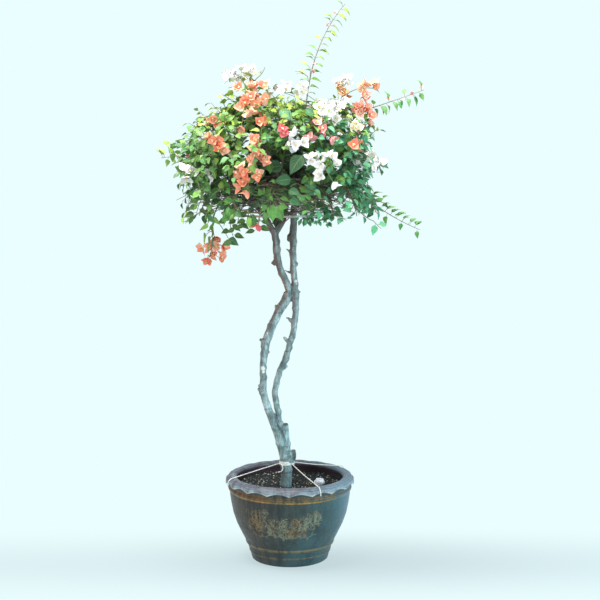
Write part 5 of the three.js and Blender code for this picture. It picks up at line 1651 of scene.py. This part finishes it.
totals = [makeSpray(name) for name in sprays]
print("sprays ready,", sum(t[0] for t in totals), "blades of the frame,", sum(t[1] for t in totals), "leaves")
print("blooms ready,", sum(makeBloom(name) for name in blooms), "flowers of the frame")


# Shoots that fill the dome between the sprays, in five pieces
canopy = {
    "shoots": 550, "power": 2.7, "bottom": 1392, "leaves": [7, 9], "reach": 0.125,
    "longest": 0.34, "mean": 0.965, "lobes": 0.10, "goldenTurn": 2.39996, "leafyEnd": 0.135,
    "pieces": {"canopy_top": (0, 0, 1), "canopy_front": (0, -1, 0), "canopy_back": (0, 1, 0),
               "canopy_left": (-1, 0, 0), "canopy_right": (1, 0, 0)},
}
# Bare twigs inside the crown: some anywhere, and a flat nest of them over the frame
tangle = {"count": 130, "length": [80, 210], "nest": 300, "nestHeight": [1384, 1485], "leaves": 400, "deep": 75,
          "thick": [1.6, 3.2], "thin": 0.9, "deepPlace": [[-125, 65], [-70, 60], [1475, 1640]]}
twigTints = [(0.10, 0.065, 0.05), (0.15, 0.11, 0.09), (0.06, 0.045, 0.04), (0.32, 0.20, 0.17), (0.44, 0.33, 0.30)]
# single large leaves: foot of the blade, its tip, how bright (painted shade for the dim ones inside and under the
# crown)
largeLeaves = [
    [[-59, -318, 1425], [-62, -322, 1369], 1.5], [[-77, -318, 1420], [-99, -325, 1402], 1.3],
    [[-44, -318, 1420], [-22, -322, 1394], 1.3], [[-197, -250, 1397], [-244, -262, 1361], 1.2],
    [[51, -300, 1601], [4, -325, 1547], 0.5], [[-22, -270, 1560], [-84, -290, 1553], 0.45],
    [[11, -290, 1513], [-44, -310, 1507], 0.6], [[58, -290, 1509], [91, -320, 1482], 0.9],
    [[-4, -300, 1473], [33, -320, 1460], 0.8], [[0, -300, 1441], [33, -320, 1423], 1.0],
    [[-50, 20, 1366], [-57, 15, 1319], 0.3], [[-30, 30, 1372], [-38, 22, 1325], 0.3],
    [[-58, -300, 1666], [-101, -320, 1648], 1.0],
    [[58, -230, 1768], [88, -250, 1742], 0.9], [[173, -230, 1717], [205, -250, 1698], 0.9],
    [[-37, -220, 1764], [7, -250, 1735], 1.0], [[-235, -90, 1281], [-201, -100, 1259], 0.7],
]
# hanging twigs with dark leaves: foot, bend, tip
hangers = [
    [[-165, -120, 1440], [-185, -190, 1390], [-200, -205, 1318]],
    [[-150, -150, 1430], [-150, -215, 1370], [-165, -225, 1330]],
    [[-110, -150, 1420], [-108, -230, 1365], [-118, -240, 1318]],
    [[-225, -60, 1440], [-240, -110, 1340], [-205, -130, 1268]],
    [[225, 20, 1470], [300, -60, 1440], [335, -80, 1372]], [[130, -120, 1440], [170, -200, 1410], [160, -230, 1368]],
    [[-300, -60, 1470], [-345, -110, 1430], [-352, -120, 1375]],
]
# thin shoots with small leaves along the frame's bars at the right: foot, bend, tip
fringe = [
    [[30, -60, 1409], [50, -190, 1366], [128, -205, 1358]], [[110, -90, 1444], [128, -200, 1376], [205, -200, 1362]],
    [[60, -100, 1424], [70, -215, 1376], [66, -225, 1353]], [[120, -150, 1444], [150, -215, 1386], [137, -205, 1347]],
    [[20, -60, 1404], [36, -120, 1370], [60, -150, 1353]],
]


def domePoint(direction, draw):
    # A point of the dome, which is squarer than an ellipsoid and has a few lobes
    stretch = np.sum((np.abs(direction)) ** canopy["power"]) ** (1 / canopy["power"])
    lobes = canopy["mean"] + canopy["lobes"] * noise.noise(Vector(direction) * 2.1 + Vector((4, 0, 9)))
    return (crown["centre"] + crown["half"] * direction / stretch * lobes * draw.uniform(0.90, 1.03)) * mm


def makeCanopy():
    draw = random.Random(3)
    shapes = {name: newShape() for name in canopy["pieces"]}
    rings = [0, 3, 6, 8, 10, 12, 13, 14]
    leaves = 0
    for k in range(canopy["shoots"]):
        height = 1 - 2 * (k + 0.5) / canopy["shoots"]
        x, y = turned(math.sqrt(1 - height ** 2), k * canopy["goldenTurn"] + draw.uniform(-0.2, 0.2))
        direction = unit(vec(x, y, height + draw.uniform(-0.06, 0.06)))
        tip = domePoint(direction, draw)
        if tip[2] < canopy["bottom"] * mm or draw.random() > leafShare(tip):
            continue
        inner = tip - outward(tip) * canopy["reach"]
        foot = np.array(supports.find(inner)[0])
        away = np.linalg.norm(tip - foot)
        if away > canopy["longest"]:
            continue
        bend = inner * 0.6 + (foot + tip) * 0.2 + vec(0, 0, 0.02) + jitter(draw, 0.012)
        line = bentLine(foot, bend, tip, 14)
        side = max(canopy["pieces"], key=lambda name: float(direction @ canopy["pieces"][name]))
        shape = shapes[side]
        thick, thin, tint = stems["canopy"]
        addTube(shape, line[rings], np.linspace(thick, thin, 15)[rings] * mm, 5, 1, shaded(tint, 0.6, 1.2, draw))
        count = draw.randint(*canopy["leaves"])
        run = min(0.80, canopy["leafyEnd"] / away)
        forward = unit(line[14] - line[10])
        for n in range(count):
            spot = line[min(14, int(round((1 - run * (1 - (n + 0.6) / count)) * 14)))]
            if draw.random() > leafShare(spot):
                continue
            last = n == count - 1
            swing = 0 if last else (1 if n % 2 else -1) * draw.uniform(0.6, 1.25)
            face = unit(outward(spot) * 0.65 + vec(0, -0.15, 0.45) + jitter(draw, 0.38))
            along = swung(forward, unit(np.cross(face, forward)), swing) + vec(0, 0, -0.28) + jitter(draw, 0.15)
            size = sized(leafSizes["canopy"], draw) * (0.75 if last else 1)
            leafOn(shape, spot, flattened(along, face, 0.8), face, size, draw)
            leaves += 1
    for name, shape in shapes.items():
        finishPiece(name, shape, [leafFinish, twigFinish], sharp=65)
    return leaves


def makeTangle():
    draw = random.Random(19)
    shape = newShape()
    lines = []
    names = list(limbs)
    for k in range(tangle["count"] + tangle["nest"]):
        loose = k < tangle["count"]
        limb = draw.choice(names)
        root = limbPoint(limb, draw.uniform(0.12, 1))
        if loose:
            heading = unit(vec(draw.gauss(0, 1), draw.gauss(0, 1), draw.gauss(0, 0.5)) + outward(root) * 0.6)
            tip = root + heading * draw.uniform(*tangle["length"]) * mm
            bend = (root + tip) / 2 + jitter(draw, 0.02)
        else:
            turn, far = draw.uniform(0, 2 * math.pi), draw.uniform(0.35, 0.92)
            tip = vec(crown["centre"][0] + crown["half"][0] * far * math.cos(turn),
                      crown["half"][1] * far * math.sin(turn), draw.uniform(*tangle["nestHeight"])) * mm
            if root[2] > 1.56 or np.linalg.norm(tip - root) > 0.40:
                continue
            bend = (root + tip) / 2 + vec(0, 0, draw.uniform(-0.01, 0.05)) + jitter(draw, 0.015)
        if depthIn(tip) > (0.93 if loose else 1.02) or tip[2] < 1.38:
            continue
        # loose twigs inside the crown are darkened to 0.6: painted shade
        tint = vec(*draw.choice(twigTints[:3] if loose or tip[2] > 1.47 else twigTints)) * (0.6 if loose else 1)
        line = addBranch(shape, root, bend, tip, 9, draw.uniform(*tangle["thick"]), tangle["thin"], tint, 5, 0)
        lines.append(line)
        for _ in range(2):
            start = line[draw.randrange(3, 9)]
            side = unit(unit(tip - root) + jitter(draw, 0.8)) * [1, 1, 0.5]
            end = start + side * draw.uniform(0.03, 0.08)
            addBranch(shape, start, (start + end) / 2 + jitter(draw, 0.006), end, 3, *sideStems["tangle"], tint, 4, 0)
    finishPiece("bare_twigs", shape, [twigFinish], sharp=80)
    return lines, draw


def makeInner(lines, draw):
    shape = newShape()
    # dark leaves inside, which stop most of the light from the back; their tints are darkened as painted shade
    for _ in range(tangle["leaves"]):
        line = draw.choice(lines)
        spot = line[draw.randrange(3, 10)]
        if spot[2] < 1.40 or (spot[2] < 1.46 and draw.random() < 0.70):
            continue
        face = unit(outward(spot) + jitter(draw, 0.5) + vec(0, -0.3, 0.2))
        along = jitter(draw, 1.0) + outward(spot) * 0.4
        along = unit(flattened(along, face, 0.9) + vec(0, 0, -0.3))
        tint = shaded(darkTints["inner"], 0.4, 1.3, draw)
        leafOn(shape, spot, along, face, sized(leafSizes["inner"], draw), draw, tint=tint, fine=0.1)
    # painted shade: the deep leaves and their twigs in the open place at the front get the darkest tints
    for _ in range(tangle["deep"]):
        spot = metres([draw.uniform(*reach) for reach in tangle["deepPlace"]])
        foot = np.array(supports.find(spot)[0])
        addBranch(shape, foot, (foot + spot) / 2 + vec(0, 0, 0.01), spot, 4, *stems["deep"], 4)
        face = unit(vec(0, -1, 0.3) + jitter(draw, 0.3))
        along = jitter(draw, 1.0) + vec(0, 0, -0.4)
        along = along - face * (unit(along) @ face) * 0.8
        tint = shaded(darkTints["deep"], 0.5, 1.4, draw)
        leafOn(shape, spot, along, face, sized(leafSizes["deep"], draw), draw, tint=tint, fine=0.1)
    for base, tip, bright in largeLeaves:
        base, tip = metres(base), metres(tip)
        foot = np.array(supports.find(base)[0])
        addBranch(shape, foot, (foot + base) / 2 + vec(0, 0, 0.012), base, 8, *stems["large"])
        face = unit(vec(0, -1, 0.55) + outward(base) * 0.3 + jitter(draw, 0.15))
        tint = vec(*darkTints["large" if bright < 1.15 else "largeBright"]) * bright
        leafOn(shape, base, tip - base, face, np.linalg.norm(tip - base) * 1.15, draw, tint=tint, stalk=0.004)
    for foot, bend, tip in hangers:
        line = addBranch(shape, metres(foot), metres(bend), metres(tip), 16, *stems["hanger"])
        for n, k in enumerate(range(7, 17, 2)):
            side = unit(vec(1.0 if n % 2 else -1.0, draw.uniform(-0.5, 0.3), -0.45))
            face = unit(vec(0, -0.8, 0.6) + jitter(draw, 0.25))
            tint = shaded(darkTints["hanger" if foot[0] < 0 else "hangerRight"], 0.6, 1.2, draw)
            leafOn(shape, line[k], flattened(side, face, 0.8), face, sized(leafSizes["hanger"], draw), draw, tint=tint)
    for foot, bend, tip in fringe:
        line = bentLine(metres(foot), metres(bend), metres(tip), 20)
        addStem(shape, line[::2], *stems["fringe"])
        for n, k in enumerate(range(8, 21)):
            side = unit(vec(draw.uniform(-0.6, 1.0), draw.uniform(-0.5, 0.3), -0.1 if n % 3 == 0 else -0.7))
            face = unit(vec(0, -0.8, 0.6) + jitter(draw, 0.3))
            tint = shaded(draw.choice(leafTints["right"]), 0.6, 1.3, draw)
            leafOn(shape, line[k], flattened(side, face, 0.8), face, sized(leafSizes["fringe"], draw), draw, tint=tint)
    finishPiece("inner_leaves", shape, [leafFinish, twigFinish], sharp=65)


print("canopy ready,", makeCanopy(), "leaves")
makeInner(*makeTangle())
print("bare twigs and inner leaves ready")

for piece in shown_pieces():
    piece.data.calc_loop_triangles()
